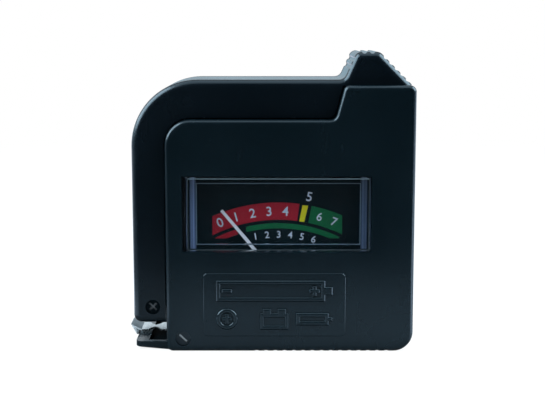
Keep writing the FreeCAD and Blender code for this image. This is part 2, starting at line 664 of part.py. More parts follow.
round_edges(front_housing, "panel_round", face_edges(front_housing, panel_face), "panel_round")
cell_end = "(relief_right - relief_nub)"
cell_high = "(relief_high + relief_tall)"
cell_middle = "(relief_high + relief_tall / 2)"
nub_half = "relief_tall / 5"
sign_reach = "relief_tall / 4"
add_relief(front_housing, "cell", framed("relief_left", "relief_high", cell_end, cell_high))
nub = rectangle(cell_end, f"{cell_middle} - {nub_half}", "relief_right", f"{cell_middle} + {nub_half}")
add_relief(front_housing, "cell_nub", [nub])
plus_x = f"({cell_end} - relief_tall / 2)"
add_relief(front_housing, "cell_plus", [cross_corners(plus_x, cell_middle, sign_reach)])
minus_x = "(relief_left + relief_tall / 2)"
minus = rectangle(
    f"{minus_x} - {sign_reach}",
    f"{cell_middle} - relief_line / 2",
    f"{minus_x} + {sign_reach}",
    f"{cell_middle} + relief_line / 2",
)
add_relief(front_housing, "cell_minus", [minus])
button_rings = ("relief_tall / 2", "relief_tall / 2 - relief_line")
add_relief(front_housing, "button_cell", [], button_rings)
add_relief(front_housing, "button_plus", [cross_corners(*BUTTON_CELL, sign_reach)])
block_left = "((relief_left + relief_right - relief_block) / 2)"
block_top = "(relief_low + relief_tall - relief_line)"
block_frame = framed(block_left, "relief_low", f"{block_left} + relief_block", block_top)
add_relief(front_housing, "block", block_frame)
for number, share in enumerate(("relief_block / 4", "relief_block * 3 / 4")):
    pole_x = f"({block_left} + {share})"
    pole_top = "relief_low + relief_tall"
    pole = rectangle(f"{pole_x} - relief_line", block_top, f"{pole_x} + relief_line", pole_top)
    add_relief(front_housing, f"block_pole_{number}", [pole])
small_end = "(relief_right - relief_nub / 2)"
small_low = f"(relief_low + {nub_half})"
small_high = f"(relief_low + relief_tall - {nub_half})"
small_frame = framed("relief_right - relief_small", small_low, small_end, small_high)
add_relief(front_housing, "small_cell", small_frame)
small_nub_low = f"{small_low} + {nub_half}"
small_nub_high = f"{small_high} - {nub_half}"
small_nub = rectangle(small_end, small_nub_low, "relief_right", small_nub_high)
add_relief(front_housing, "small_cell_nub", [small_nub])
relief_face = panel_face - size("relief_rise")
round_edges(front_housing, "relief_round", face_edges(front_housing, relief_face), "relief_round")
base_grooves = []
for step in range(BASE_GROOVES):
    groove_x = f"right_side - base_groove_inset - {step} * base_groove_pitch"
    base_grooves.append((groove_x, "base_groove_deep - base_groove_radius"))
cut_rounds(front_housing, "base_grooves", base_grooves, "base_groove_radius", "0", "base_groove_run")
add_foot(front_housing, "face_step", "front_depth", "foot_lip", "0")
bosses = [FRONT_BOLT] + CHASSIS_BOLTS + [(SIDE_BOLT, "side_bolt_low"), (SIDE_BOLT, "side_bolt_high")]
case_bosses = [bosses[0]] + bosses[3:]
boss_start = "face_wall / 2"
case_boss_length = f"front_depth - {boss_start}"
add_rounds(front_housing, "case_bosses", case_bosses, "boss_radius", boss_start, case_boss_length)
boss_length = f"chassis_front - {boss_start}"
add_rounds(front_housing, "chassis_bosses", CHASSIS_BOLTS, "boss_radius", boss_start, boss_length)
opening = rectangle("window_left", "window_bottom", "window_right", "window_top")
cut_shape(front_housing, "window", opening, "-panel_rise", "panel_rise + face_wall")
bolt_hole = "thread_radius + bolt_gap"
head_hole = "head_radius + head_gap"
cut_rounds(front_housing, "front_bolt_hole", [FRONT_BOLT], bolt_hole, "0", "front_depth")
cut_rounds(front_housing, "front_bolt_sink", [FRONT_BOLT], head_hole, "0", "head_sink + head_thickness")
cut_rounds(front_housing, "side_bolt_holes", bosses[3:], bolt_hole, "face_wall + bolt_end", "front_depth")
chassis_hole_start = "front_depth - chassis_bolt_length - head_thickness - head_sink"
cut_rounds(front_housing, "chassis_bolt_holes", CHASSIS_BOLTS, bolt_hole, chassis_hole_start, "front_depth")
rail_notch = rectangle(
    "rail_left - slide_gap",
    "rail_front - slide_gap",
    "rail_right + slide_gap",
    "front_depth + overcut",
)
notch_start = "shoulder_height - 2 * side_wall"
cut_shape(front_housing, "rail_notch", rail_notch, notch_start, "3 * side_wall", "XY_Plane")
slot_front = "contact_front - seat_gap"
slot_rear = "contact_front + contact_width + seat_gap"
slot_low = "contact_level - seat_gap"
slot_top = "contact_level + contact_thickness + seat_gap"
contact_slot = rectangle(slot_front, slot_low, slot_rear, slot_top)
slot_start = "left_side - seat_gap"
cut_shape(front_housing, "contact_slot", contact_slot, slot_start, "side_wall + seat_gap", "YZ_Plane")
tail_slot = rectangle(slot_front, slot_low, slot_rear, "contact_level + tail_tall + seat_gap")
cut_shape(front_housing, "tail_slot", tail_slot, "left_side + tail_set - seat_gap", "side_wall", "YZ_Plane")
studs = [(x, "block_depth") for x in STUD_XS]
stud_hole = "stud_radius + seat_gap"
cut_rounds(front_housing, "stud_holes", studs, stud_hole, "-side_wall", "3 * side_wall", "XY_Plane")

# Rear cover: the rear wall with the right and lower walls of the slide channel.
rear_cover = new_body("rear_cover")
tray = add_shape(rear_cover, "tray", housing_corners(), "front_depth", "overall_depth - front_depth")
round_housing(rear_cover, tray)
round_edges(rear_cover, "face_round", face_edges(rear_cover, size("overall_depth")), "edge_round")
channel_right = "web_right + slide_gap"
channel = rectangle("arm_left - overcut", "side_wall", channel_right, "overall_height + overcut")
cut_shape(rear_cover, "channel", channel, "front_depth", "channel_rear - front_depth")
recess_depth = "cover_inner - channel_rear"
recess = housing_corners("side_wall")
recess[1] = (channel_right, "side_wall")
recess[2] = (channel_right, "shoulder_height - side_wall")
cut_shape(rear_cover, "recess", recess, "channel_rear", recess_depth)
front_boss_length = "cover_inner - front_depth + face_wall / 2"
add_rounds(rear_cover, "front_boss", [FRONT_BOLT], "boss_radius", "front_depth", front_boss_length)
add_foot(rear_cover, "front_depth", "arm_rear", "0", "foot_lip")
cut_rounds(rear_cover, "front_bolt_hole", [FRONT_BOLT], bolt_hole, "front_depth", "cover_inner - front_depth")
cut_rounds(rear_cover, "side_bolt_holes", bosses[3:], bolt_hole, "front_depth", "overall_depth")
side_sink = "overall_depth - head_sink - head_thickness"
cut_rounds(rear_cover, "side_bolt_sinks", bosses[3:], head_hole, side_sink, "overall_depth")

# Chassis plate: closes the front housing and carries the guide rail and the meter posts.
chassis_plate = new_body("chassis_plate")
plate_outline = housing_corners("(side_wall + seat_gap)")
plate = add_shape(chassis_plate, "plate", plate_outline, "chassis_front", "chassis_thickness")
round_corners(chassis_plate, "plate_top_round", plate, (5,), "housing_corner - side_wall")
round_corners(chassis_plate, "plate_base_round", plate, (1,), "base_corner - side_wall")
posts = [(x, z) for x in ("post_left", "post_right") for z in ("post_low", "post_high")]
post_length = "chassis_front - skirt_rear - seat_gap + chassis_thickness / 2"
add_rounds(chassis_plate, "posts", posts, "post_radius", "skirt_rear + seat_gap", post_length)
rail = rectangle("rail_left", "rail_front", "rail_right", "front_depth")
rail_low = "(tab_bottom + slide_gap)"
add_shape(chassis_plate, "rail", rail, rail_low, f"rail_top - {rail_low}", "XY_Plane")
wide = rectangle("rail_x - slot_wide / 2", "slot_floor", "rail_x + slot_wide / 2", "slot_step")
cut_shape(chassis_plate, "slot_wide", wide, "0", "overall_height", "XY_Plane")
neck = rectangle("rail_x - slot_neck / 2", "slot_step", "rail_x + slot_neck / 2", "front_depth")
cut_shape(chassis_plate, "slot_neck", neck, "0", "overall_height", "XY_Plane")
boss_clear = "boss_radius + seat_gap"
clear_right = f"{FRONT_BOLT[0]} + {boss_clear}"
clear_left = f"{SIDE_BOLT} - ({boss_clear})"
boss_corners = {
    "front_corner": rectangle("left_side", "0", clear_right, f"{FRONT_BOLT[1]} + {boss_clear}"),
    "low_corner": rectangle(clear_left, "0", "right_side", f"side_bolt_low + {boss_clear}"),
    "high_corner": rectangle(clear_left, f"side_bolt_high - ({boss_clear})", "right_side", "shoulder_height"),
}
for corner_name, corner in boss_corners.items():
    cut_shape(chassis_plate, corner_name, corner, "chassis_front", "chassis_thickness")
cut_rounds(chassis_plate, "bolt_holes", CHASSIS_BOLTS, bolt_hole, "chassis_front", "chassis_thickness")
chassis_sink = "front_depth - head_sink - head_thickness"
cut_rounds(chassis_plate, "bolt_sinks", CHASSIS_BOLTS, head_hole, chassis_sink, "head_sink + head_thickness")
brush_left = "bus_x - bus_width / 2"
brush_slot_low = "brush_low + brush_base"
brush_slot = rectangle(
    f"{brush_left} - seat_gap",
    brush_slot_low,
    f"{brush_left} + bus_width + seat_gap",
    "overall_height",
)
cut_shape(chassis_plate, "brush_slot", brush_slot, "chassis_front", "chassis_thickness")

# Arm outline: a plain block first, so that its edges round cleanly before the housing's place is cut out.
def arm_corners(low):
    return [
        ("arm_left", low),
        ("arm_right", low),
        ("arm_right", "grip_end_height"),
        ("grip_right_x", "overall_height"),
        ("grip_left_x", "overall_height"),
        ("grip_foot_x", "slider_height"),
        ("arm_left", "slider_height"),
    ]


def grip_grooves():
    """Centres of the grooves on the top and both slopes of the grip."""
    top_middle = "(grip_left_x + grip_right_x) / 2"
    centres = []
    for step in TOP_GROOVES:
        centres.append((f"{top_middle} + groove_pitch * {step}", "overall_height + groove_lift"))
    slopes = (
        ("grip_right_x", "arm_right", "grip_end_height", RIGHT_GROOVES, 1),
        ("grip_left_x", "grip_foot_x", "slider_height", LEFT_GROOVES, -1),
    )
    for start, end, low, count, side in slopes:
        run = f"({end} - {start})"
        fall = f"(overall_height - {low})"
        length = f"sqrt({run} ^ 2 + {fall} ^ 2)"
        for step in range(1, count + 1):
            down = f"groove_pitch * {step} / {length}"
            x = f"{start} + {run} * {down} + groove_lift * {side} * {fall} / {length}"
            z = f"overall_height - {fall} * {down} + groove_lift * {side} * {run} / {length}"
            centres.append((x, z))
    return centres


def arm_block(body, low, start, length, face):
    block = add_shape(body, "block", arm_corners(low), start, length)
    round_corners(body, "low_round", block, (0,), "arm_corner")
    round_corners(body, "arm_round", block, (6,), "slider_corner")
    round_corners(body, "grip_rounds", block, (3, 4, 5), "arm_corner")
    round_edges(body, "face_round", face_edges(body, face), "arm_edge_round")
    cut_rounds(body, "grooves", grip_grooves(), "groove_radius", start, length)


def housing_place(body, start, length):
    """Cut the housing's outline out of the arm, with the sliding clearance around it."""
    outline = housing_corners("(-slide_gap)")
    outline[0] = (outline[0][0], "-overcut")
    outline[1] = ("right_side + overcut", "-overcut")
    outline[2] = ("right_side + overcut", outline[2][1])
    feature = cut_shape(body, "housing_place", outline, start, length)
    round_corners(body, "place_round", feature, (5,), "housing_corner + slide_gap")
    round_corners(body, "place_notch", feature, (4,), "small_corner")


# Arm front half: a hollow shell with the ridged thumb grip.
arm_shell = new_body("arm_shell")
arm_block(arm_shell, "arm_bottom", "face_step", "arm_split - face_step", size("face_step"))
housing_place(arm_shell, "face_step", "arm_split")
bar_floor = "housing_height + slide_gap + arm_wall"
bar_top = "slider_height - arm_wall"
arm_hollow = [
    ("arm_left + arm_wall", "arm_bottom + arm_wall"),
    ("left_side - slide_gap - arm_wall", "arm_bottom + arm_wall"),
    ("left_side - slide_gap - arm_wall", bar_floor),
    ("notch_x - slide_gap - arm_wall", bar_floor),
    ("notch_x + notch_run / 2 - slide_gap - arm_wall", bar_top),
]
# The hollow follows the upper left corner of the arm in short flats.
for step in range(CORNER_FLATS + 1):
    lean = f"({step} * 90deg / {CORNER_FLATS})"
    x = f"arm_left + slider_corner - (slider_corner - arm_wall) * sin{lean}"
    arm_hollow.append((x, f"slider_height - slider_corner + (slider_corner - arm_wall) * cos{lean}"))
arm_cavity = cut_shape(arm_shell, "hollow", arm_hollow, "face_step + arm_wall", "arm_split")
round_corners(arm_shell, "hollow_place_round", arm_cavity, (2,), "housing_corner + slide_gap + arm_wall")
grip_floor = "shoulder_height + slide_gap + arm_wall"
grip_top = "overall_height - arm_wall"
grip_hollow = [
    ("grip_foot_x + grip_foot_wall", grip_floor),
    ("arm_right - grip_end_wall", grip_floor),
    ("grip_right_x - grip_right_wall", grip_top),
    ("grip_left_x + grip_left_wall", grip_top),
]
cut_shape(arm_shell, "grip_hollow", grip_hollow, "face_step + arm_wall", "arm_split")
arm_boss_length = "arm_split - face_step - arm_wall / 2"
add_rounds(arm_shell, "bosses", ARM_BOLTS, "boss_radius", "face_step + arm_wall / 2", arm_boss_length)
cut_rounds(arm_shell, "bolt_holes", ARM_BOLTS[:1], bolt_hole, "face_step", "arm_split")
cut_rounds(arm_shell, "bolt_sink", ARM_BOLTS[:1], head_hole, "face_step", "head_sink + head_thickness")
top_bolt_start = "arm_rear - head_sink - arm_bolt_length"
cut_rounds(arm_shell, "top_bolt_hole", ARM_BOLTS[1:], bolt_hole, top_bolt_start, "arm_split")
cut_shape(arm_shell, "rail_notch", rail_notch, "shoulder_height", "2 * arm_wall", "XY_Plane")
middle_x = "arm_left + (arm_width - slide_gap) / 2"
tail_front = "contact_front + contact_width / 2 - bus_width / 2 - seat_gap"
arm_tail_x = "(arm_left + arm_wall + seat_gap)"
arm_slot = rectangle(
    f"{arm_tail_x} - seat_gap",
    tail_front,
    f"{arm_tail_x} + contact_thickness + seat_gap",
    f"{tail_front} + bus_width + 2 * seat_gap",
)
cut_shape(arm_shell, "contact_slot", arm_slot, "arm_bottom - arm_wall", "3 * arm_wall", "XY_Plane")

# Arm rear half: rear wall, guide plate, runner and stop lug.
arm_back = new_body("arm_back")
arm_block(arm_back, "tab_bottom", "arm_split", "arm_rear - arm_split", size("arm_rear"))
housing_place(arm_back, "web_rear", "overall_depth")
side_place = rectangle("web_right", "-overcut", "right_side + overcut", "shoulder_height + slide_gap")
cut_shape(arm_back, "side_place", side_place, "arm_split", "overall_depth")
low_place = [("arm_left - overcut", "-overcut"), ("tab_left", "-overcut"), ("tab_left", "arm_bottom")]
# The rear half's lower left corner is rounded in short flats, as the front half's is.
for step in range(CORNER_FLATS + 1):
    lean = f"({step} * 90deg / {CORNER_FLATS})"
    x = f"arm_left + arm_corner - arm_corner * sin{lean}"
    low_place.append((x, f"arm_bottom + arm_corner - arm_corner * cos{lean}"))
low_place.append(("arm_left - overcut", "arm_bottom + arm_corner"))
cut_shape(arm_back, "low_place", low_place, "arm_split", "overall_depth")
stop = rectangle("rail_left", "tab_bottom", "web_right", "tab_bottom + stop_tall")
add_shape(arm_back, "stop", stop, "web_rear", "stop_rise")
runner_low = "tab_bottom + slide_gap"
runner_neck = rectangle(
    "rail_x - slot_neck / 2 + slide_gap",
    "slot_step - slide_gap",
    "rail_x + slot_neck / 2 - slide_gap",
    "arm_split + web_thickness / 2",
)
add_shape(arm_back, "runner_neck", runner_neck, runner_low, "runner_tall", "XY_Plane")
runner_head = rectangle(
    "rail_x - slot_wide / 2 + slide_gap",
    "slot_floor + slide_gap",
    "rail_x + slot_wide / 2 - slide_gap",
    "slot_step - slide_gap",
)
add_shape(arm_back, "runner_head", runner_head, runner_low, "runner_tall", "XY_Plane")
bus_low = "tab_bottom + slide_gap"


def bus_corners(gap):
    """Outline of the bus strip: down the guide plate and across to the inside of the arm."""
    right = f"bus_x + bus_width / 2 + {gap}"
    return [
        (f"{brush_left} - {gap}", f"{bus_low} - {gap}"),
        (right, f"{bus_low} - {gap}"),
        (right, f"bus_top + {gap}"),
        (f"bus_left - {gap}", f"bus_top + {gap}"),
        (f"bus_left - {gap}", f"bus_top - bus_width - {gap}"),
        (f"{brush_left} - {gap}", f"bus_top - bus_width - {gap}"),
    ]


bus_groove = bus_corners("seat_gap / 2")
cut_shape(arm_back, "bus_groove", bus_groove, "arm_split", "bus_thickness")
cut_rounds(arm_back, "bolt_hole", ARM_BOLTS[:1], bolt_hole, "arm_split", "arm_rear - arm_split - head_sink")
cut_rounds(arm_back, "top_bolt_hole", ARM_BOLTS[1:], bolt_hole, "arm_split", "overall_depth")
top_sink = "arm_rear - head_sink - head_thickness"
cut_rounds(arm_back, "top_bolt_sink", ARM_BOLTS[1:], head_hole, top_sink, "overall_depth")

# Lower contact: a flat strip with a waist and an upright tail in the left wall. Its lip turns up
# and folds back down as a hook over the foot's left end.
lower_contact = new_body("lower_contact")
bend_x = "(left_side - contact_bend)"
tip_x = "(-overall_width / 2)"
tail_left = "(left_side + tail_set)"
contact_top = "contact_level + contact_thickness"
hook_x = "(left_side - foot_width - seat_gap)"
hook_low = "foot_tall - hook_grip"
contact_profile = [
    (f"{hook_x} - hook_end", hook_low),
    (hook_x, hook_low),
    (f"({tip_x} + {bend_x}) / 2", "contact_level + lip_rise / 2"),
    (bend_x, "contact_level"),
    (f"{tail_left} + contact_thickness", "contact_level"),
    (f"{tail_left} + contact_thickness", "contact_level + tail_tall"),
    (tail_left, "contact_level + tail_tall"),
    (tail_left, contact_top),
    (bend_x, contact_top),
    (tip_x, f"{contact_top} + lip_rise"),
]
add_shape(lower_contact, "strip", contact_profile, "contact_front", "contact_width")
waist_middle = "(left_side - waist_x)"
waist_left = f"{waist_middle} - waist_half"
waist_right = f"{waist_middle} + waist_half"
notch_deep = "(contact_width - waist_width) / 2"
contact_rear = "contact_front + contact_width"
front_notch = [
    (f"{waist_left} - waist_half / 2", "contact_front - seat_gap"),
    (f"{waist_right} + waist_half / 2", "contact_front - seat_gap"),
    (waist_right, f"contact_front + {notch_deep} / 2"),
    (waist_middle, f"contact_front + {notch_deep}"),
    (waist_left, f"contact_front + {notch_deep} / 2"),
]
rear_notch = [
    (f"{waist_left} - waist_half / 2", f"{contact_rear} + seat_gap"),
    (f"{waist_right} + waist_half / 2", f"{contact_rear} + seat_gap"),
    (waist_right, f"{contact_rear} - {notch_deep} / 2"),
    (waist_middle, f"{contact_rear} - {notch_deep}"),
    (waist_left, f"{contact_rear} - {notch_deep} / 2"),
]
for notch_name, notch in (("front_notch", front_notch), ("rear_notch", rear_notch)):
    cut_shape(lower_contact, notch_name, notch, "0", "2 * contact_level", "XY_Plane")

# Arm contact: a plate under the arm with a dome and a tail that reaches up inside.
contact_middle = "contact_front + contact_width / 2"
arm_plate = box(
    "arm_contact_plate",
    f"{middle_x} - arm_contact_width / 2",
    f"{contact_middle} - arm_contact_depth / 2",
    "arm_bottom - contact_thickness",
    "arm_contact_width",
    "arm_contact_depth",
    "contact_thickness",
)
arm_tail = box(
    "arm_contact_tail_strip",
    arm_tail_x,
    f"{contact_middle} - bus_width / 2",
    "arm_bottom - contact_thickness",
    "contact_thickness",
    "bus_width",
    "arm_contact_tail - arm_bottom + contact_thickness",
)
dome = doc.addObject("Part::Cone", "arm_contact_dome")
bind(dome, "Radius1", "dome_radius / 2")
bind(dome, "Radius2", "dome_radius")
bind(dome, "Height", "dome_radius")
place(dome, middle_x, contact_middle, "arm_bottom - contact_thickness - dome_radius")
keep(fuse("arm_contact", [arm_plate, arm_tail, dome]), "arm_contact")

# Bus strip along the guide plate and the brush that rides on it.
bus_strip = new_body("bus_strip")
add_shape(bus_strip, "strip", bus_corners("0"), "arm_split + seat_gap / 2", "bus_thickness - seat_gap / 2")
contact_brush = new_body("contact_brush")
brush_front = "chassis_front - brush_thickness"
tip_rear = "arm_split - brush_lift"
brush_profile = [
    (brush_front, "brush_low"),
    ("chassis_front", "brush_low"),
    ("chassis_front", f"{brush_slot_low} + seat_gap"),
    (tip_rear, "brush_high - brush_thickness"),
    (tip_rear, "brush_high"),
    (f"{tip_rear} - brush_thickness", "brush_high"),
    (brush_front, f"{brush_slot_low} + brush_thickness"),
]
add_shape(contact_brush, "leaf", brush_profile, brush_left, "bus_width", "YZ_Plane")

# Clear meter window: a boss that fills the opening and a skirt over the meter frame.
meter_window = new_body("meter_window")
skirt = rectangle("skirt_left", "skirt_bottom", "skirt_right", "skirt_top")
skirt_front = "face_wall + seat_gap"
add_shape(meter_window, "skirt", skirt, skirt_front, f"skirt_rear - ({skirt_front})")
boss_left = "window_left + cover_left_gap"
boss = rectangle(boss_left, "window_bottom + cover_gap", "window_right - cover_gap", "window_top - cover_gap")
add_shape(meter_window, "boss", boss, "cover_set", f"{skirt_front} - cover_set + skirt_wall / 2")
round_edges(meter_window, "boss_round", face_edges(meter_window, size("cover_set")), "cover_round")
skirt_hollow = rectangle(
    "skirt_left + skirt_wall",
    "skirt_bottom + skirt_wall",
    "skirt_right - skirt_wall",
    "skirt_top - skirt_wall",
)
cut_shape(meter_window, "skirt_hollow", skirt_hollow, f"{skirt_front} + skirt_wall", "skirt_rear")
boss_hollow = rectangle(
    f"{boss_left} + cover_end_wall",
    "window_bottom + cover_gap + cover_wall",
    "window_right - cover_gap - cover_end_wall",
    "window_top - cover_gap - cover_wall",
)
cut_shape(meter_window, "boss_hollow", boss_hollow, "cover_set + cover_wall", "skirt_rear")

# Meter frame: a plate inside the skirt with a cup for the magnets.
meter_frame = new_body("meter_frame")
frame_inset = "skirt_wall + seat_gap"
frame_outline = rectangle(
    f"skirt_left + {frame_inset}",
    f"skirt_bottom + {frame_inset}",
    f"skirt_right - ({frame_inset})",
    f"skirt_top - ({frame_inset})",
)
add_shape(meter_frame, "plate", frame_outline, "plate_front", "frame_plate")
pivot = [("pivot_x", "pivot_z")]
add_rounds(meter_frame, "cup", pivot, "cup_radius", "plate_front", "cup_rear - plate_front")
ring_rear = "ring_front + ring_length"
ring_hole = "ring_radius + seat_gap / 2"
cut_rounds(meter_frame, "ring_bore", pivot, ring_hole, "plate_front", f"{ring_rear} - plate_front")
cut_rounds(meter_frame, "rear_bore", pivot, "cup_bore", "plate_front", "cup_rear - plate_front + overcut")
under_skirt = rectangle(
    "pivot_x - 2 * cup_radius",
    "-overcut",
    "pivot_x + 2 * cup_radius",
    f"skirt_bottom + {frame_inset}",
)
cut_shape(meter_frame, "cup_flat", under_skirt, "plate_front", "skirt_rear - plate_front + seat_gap")
bridge_seat = rectangle(
    "pivot_x - rear_bridge_half - seat_gap",
    "pivot_z - bridge_width / 2 - seat_gap",
    "pivot_x + rear_bridge_half + seat_gap",
    "pivot_z + bridge_width / 2 + seat_gap",
)
cut_shape(meter_frame, "bridge_seat", bridge_seat, "rear_bridge_depth", "cup_rear")
terminal_xs = ["pivot_x - terminal_x", "pivot_x + terminal_x"]
terminals = [(x, "terminal_z") for x in terminal_xs]
terminal_hole = "terminal_radius + bolt_gap"
cut_rounds(meter_frame, "terminal_holes", terminals, terminal_hole, "plate_front", "frame_plate")

# Dial plate with two pointer stops below the window.
dial_plate = new_body("dial_plate")
dial_inset = "skirt_wall + dial_margin"
dial_outline = rectangle(
    f"skirt_left + {dial_inset}",
    "dial_bottom",
    f"skirt_right - ({dial_inset})",
    f"skirt_top - ({dial_inset})",
)
add_shape(dial_plate, "sheet", dial_outline, "dial_depth", "dial_thickness")
ear_width = "2 * bridge_width"
ears = (
    ("left_ear", f"skirt_left + {dial_inset}"),
    ("right_ear", f"skirt_right - ({dial_inset}) - {ear_width}"),
)
ear_low = f"skirt_bottom + {dial_inset}"
for ear_name, ear_left in ears:
    ear = rectangle(ear_left, ear_low, f"{ear_left} + {ear_width}", "dial_bottom + dial_thickness")
    add_shape(dial_plate, ear_name, ear, "dial_depth", "dial_thickness")
spacer_xs = [f"skirt_left + {dial_inset} + head_radius", f"skirt_right - ({dial_inset}) - head_radius"]
dial_bolts = [(x, z) for x in spacer_xs for z in ("post_low", "post_high")]
spacer_start = "dial_depth + dial_thickness"
spacer_length = f"skirt_rear - ({spacer_start})"
add_rounds(meter_frame, "dial_spacers", dial_bolts, "head_radius", spacer_start, spacer_length)
dial_bolt_hole = "thread_radius / 2 + bolt_gap"
cut_rounds(dial_plate, "bolt_holes", dial_bolts, dial_bolt_hole, "dial_depth", "dial_thickness")
cut_rounds(meter_frame, "dial_bolt_holes", dial_bolts, dial_bolt_hole, spacer_start, "frame_plate")
dial_screws = []
for number, (x, z) in enumerate(dial_bolts):
    cap = rod(f"dial_screw_head_{number}", x, "dial_depth - head_sink", z, "thread_radius", "head_sink")
    stem_start = "dial_depth - head_sink / 2"
    stem = rod(f"dial_screw_stem_{number}", x, stem_start, z, "thread_radius / 2", "frame_plate")
    dial_screws.append(fuse(f"dial_screw_{number}", [cap, stem]))
keep(group("dial_screws", dial_screws), "dial_screws")

pegs = []
stop_leans = ["(-(rest_angle + stop_clear) * 1deg)", "((sweep_angle - rest_angle + stop_clear) * 1deg)"]
for number, lean in enumerate(stop_leans):
    x = f"pivot_x + stop_reach * sin{lean}"
    z = f"pivot_z + stop_reach * cos{lean}"
    pegs.append(rod(f"pointer_stop_{number}", x, "stop_front", z, "stop_radius", "ring_front - stop_front"))
keep(group("pointer_stops", pegs), "pointer_stops")

# Magnet system: iron ring, two pole magnets and the iron core on its arms.
ring_outer = rod("ring_outer", "pivot_x", "ring_front", "pivot_z", "ring_radius", "ring_length")
ring_inner = rod("ring_inner", "pivot_x", "ring_front", "pivot_z", "ring_bore", "ring_length")
keep(cut("iron_ring", ring_outer, ring_inner), "iron_ring")
magnets = []
for number, side in enumerate((0, 180)):
    sector = doc.addObject("Part::Cylinder", f"magnet_sector_{number}")
    bind(sector, "Radius", "ring_bore")
    bind(sector, "Height", "ring_length")
    bind(sector, "Angle", "magnet_angle")
    turn = Rotation(Vector(0, 1, 0), side - size("magnet_angle") / 2)
    place(sector, "pivot_x", "ring_front", "pivot_z", turn.multiply(ALONG_Y))
    bore = rod(f"magnet_bore_{number}", "pivot_x", "ring_front", "pivot_z", "magnet_bore", "ring_length")
    magnets.append(cut(f"pole_magnet_{number}", sector, bore))
keep(group("pole_magnets", magnets), "pole_magnets")
core_front = "ring_front + (ring_length - core_length) / 2"
core = rod("core_round", "pivot_x", core_front, "pivot_z", "core_radius", "core_length")
core_reach = "(ring_bore - seat_gap)"
arm_bar = box(
    "core_bar",
    "pivot_x - core_arm / 2",
    core_front,
    f"pivot_z - {core_reach}",
    "core_arm",
    "core_length",
    f"2 * {core_reach}",
)
keep(fuse("iron_core", [core, arm_bar]), "iron_core")

# Bearing bridges and bearing screws.
front_bridge = new_body("front_bridge")
leg = "bridge_thickness"
bridge_half = "front_bridge_half"
bridge_profile = [
    (f"pivot_x - {bridge_half}", "front_bridge_depth"),
    (f"pivot_x + {bridge_half}", "front_bridge_depth"),
    (f"pivot_x + {bridge_half}", "plate_front"),
    (f"pivot_x + {bridge_half} - {leg}", "plate_front"),
    (f"pivot_x + {bridge_half} - {leg}", f"front_bridge_depth + {leg}"),
    (f"pivot_x - {bridge_half} + {leg}", f"front_bridge_depth + {leg}"),
    (f"pivot_x - {bridge_half} + {leg}", "plate_front"),
    (f"pivot_x - {bridge_half}", "plate_front"),
]
bridge_low = "pivot_z - bridge_width / 2"
add_shape(front_bridge, "bar", bridge_profile, bridge_low, "bridge_width", "XY_Plane")
jewel_hole = "jewel_radius + bolt_gap"
cut_rounds(front_bridge, "jewel_hole", pivot, jewel_hole, "front_bridge_depth", "bridge_thickness")
rear_bridge = new_body("rear_bridge")
bridge_high = "pivot_z + bridge_width / 2"
rear_bar = rectangle("pivot_x - rear_bridge_half", bridge_low, "pivot_x + rear_bridge_half", bridge_high)
add_shape(rear_bridge, "bar", rear_bar, "rear_bridge_depth", "bridge_thickness")
cut_rounds(rear_bridge, "jewel_hole", pivot, jewel_hole, "rear_bridge_depth", "bridge_thickness")
jewels = []
tip_hole = "tip_radius + tip_gap"
front_jewel_start = "staff_front - tip_gap - jewel_length / 2"
rear_jewel_start = "staff_rear + tip_gap - jewel_length / 2"
jewel_starts = ((front_jewel_start, "staff_front - tip_gap"), (rear_jewel_start, rear_jewel_start))
for number, (start, hole_start) in enumerate(jewel_starts):
    barrel = rod(f"jewel_barrel_{number}", "pivot_x", start, "pivot_z", "jewel_radius", "jewel_length")
    cup = rod(f"jewel_cup_{number}", "pivot_x", hole_start, "pivot_z", tip_hole, "jewel_length / 2")
    jewels.append(cut(f"jewel_{number}", barrel, cup))
keep(group("bearing_screws", jewels), "bearing_screws")


def on_pointer(thing, depth="0"):
    """Set a piece on the meter pivot, turned to the pointer's rest position."""
    thing.Placement = Placement(Vector(0, 0, 0), Rotation(Vector(0, -1, 0), size("rest_angle")))
    bind(thing, "Placement.Base.x", "pivot_x")
    bind(thing, "Placement.Base.y", f"front_face + {depth}")
    bind(thing, "Placement.Base.z", "pivot_z")
    bind(thing, "Placement.Rotation.Angle", "rest_angle * 1deg")
    return thing


# Pointer with its hub, tail and counterweight.
pointer = doc.addObject("PartDesign::Body", "pointer")
on_pointer(keep(pointer, "pointer"))
blade = [
    ("-pointer_width / 2", "-tail_length"),
    ("pointer_width / 2", "-tail_length"),
    ("pointer_tip / 2", "pointer_length"),
    ("-pointer_tip / 2", "pointer_length"),
]
add_shape(pointer, "blade", blade, "pointer_depth", "pointer_thickness")
centre = [("0", "0")]
add_rounds(pointer, "hub", centre, "hub_radius", "pointer_depth", "hub_length")
cut_rounds(pointer, "hub_hole", centre, "staff_radius", "pointer_depth", "hub_length")
counterweight = doc.addObject("PartDesign::Body", "counterweight")
on_pointer(keep(counterweight, "counterweight"))
weight = rectangle("-weight_width / 2", "-tail_length", "weight_width / 2", "-tail_length + weight_tall")
add_shape(counterweight, "weight", weight, "pointer_depth + pointer_thickness", "weight_thickness")

# Moving coil: a flat wound frame around the iron core.
moving_coil = doc.addObject("PartDesign::Body", "moving_coil")
on_pointer(keep(moving_coil, "moving_coil"))
winding = rectangle("-coil_half", "coil_front", "coil_half", "coil_rear")
add_shape(moving_coil, "winding", winding, "-coil_band / 2", "coil_band", "XY_Plane")
inside = rectangle(
    "-coil_half + coil_wall",
    "coil_front + coil_wall",
    "coil_half - coil_wall",
    "coil_rear - coil_wall",
)
cut_shape(moving_coil, "inside", inside, "-coil_band / 2", "coil_band", "XY_Plane")

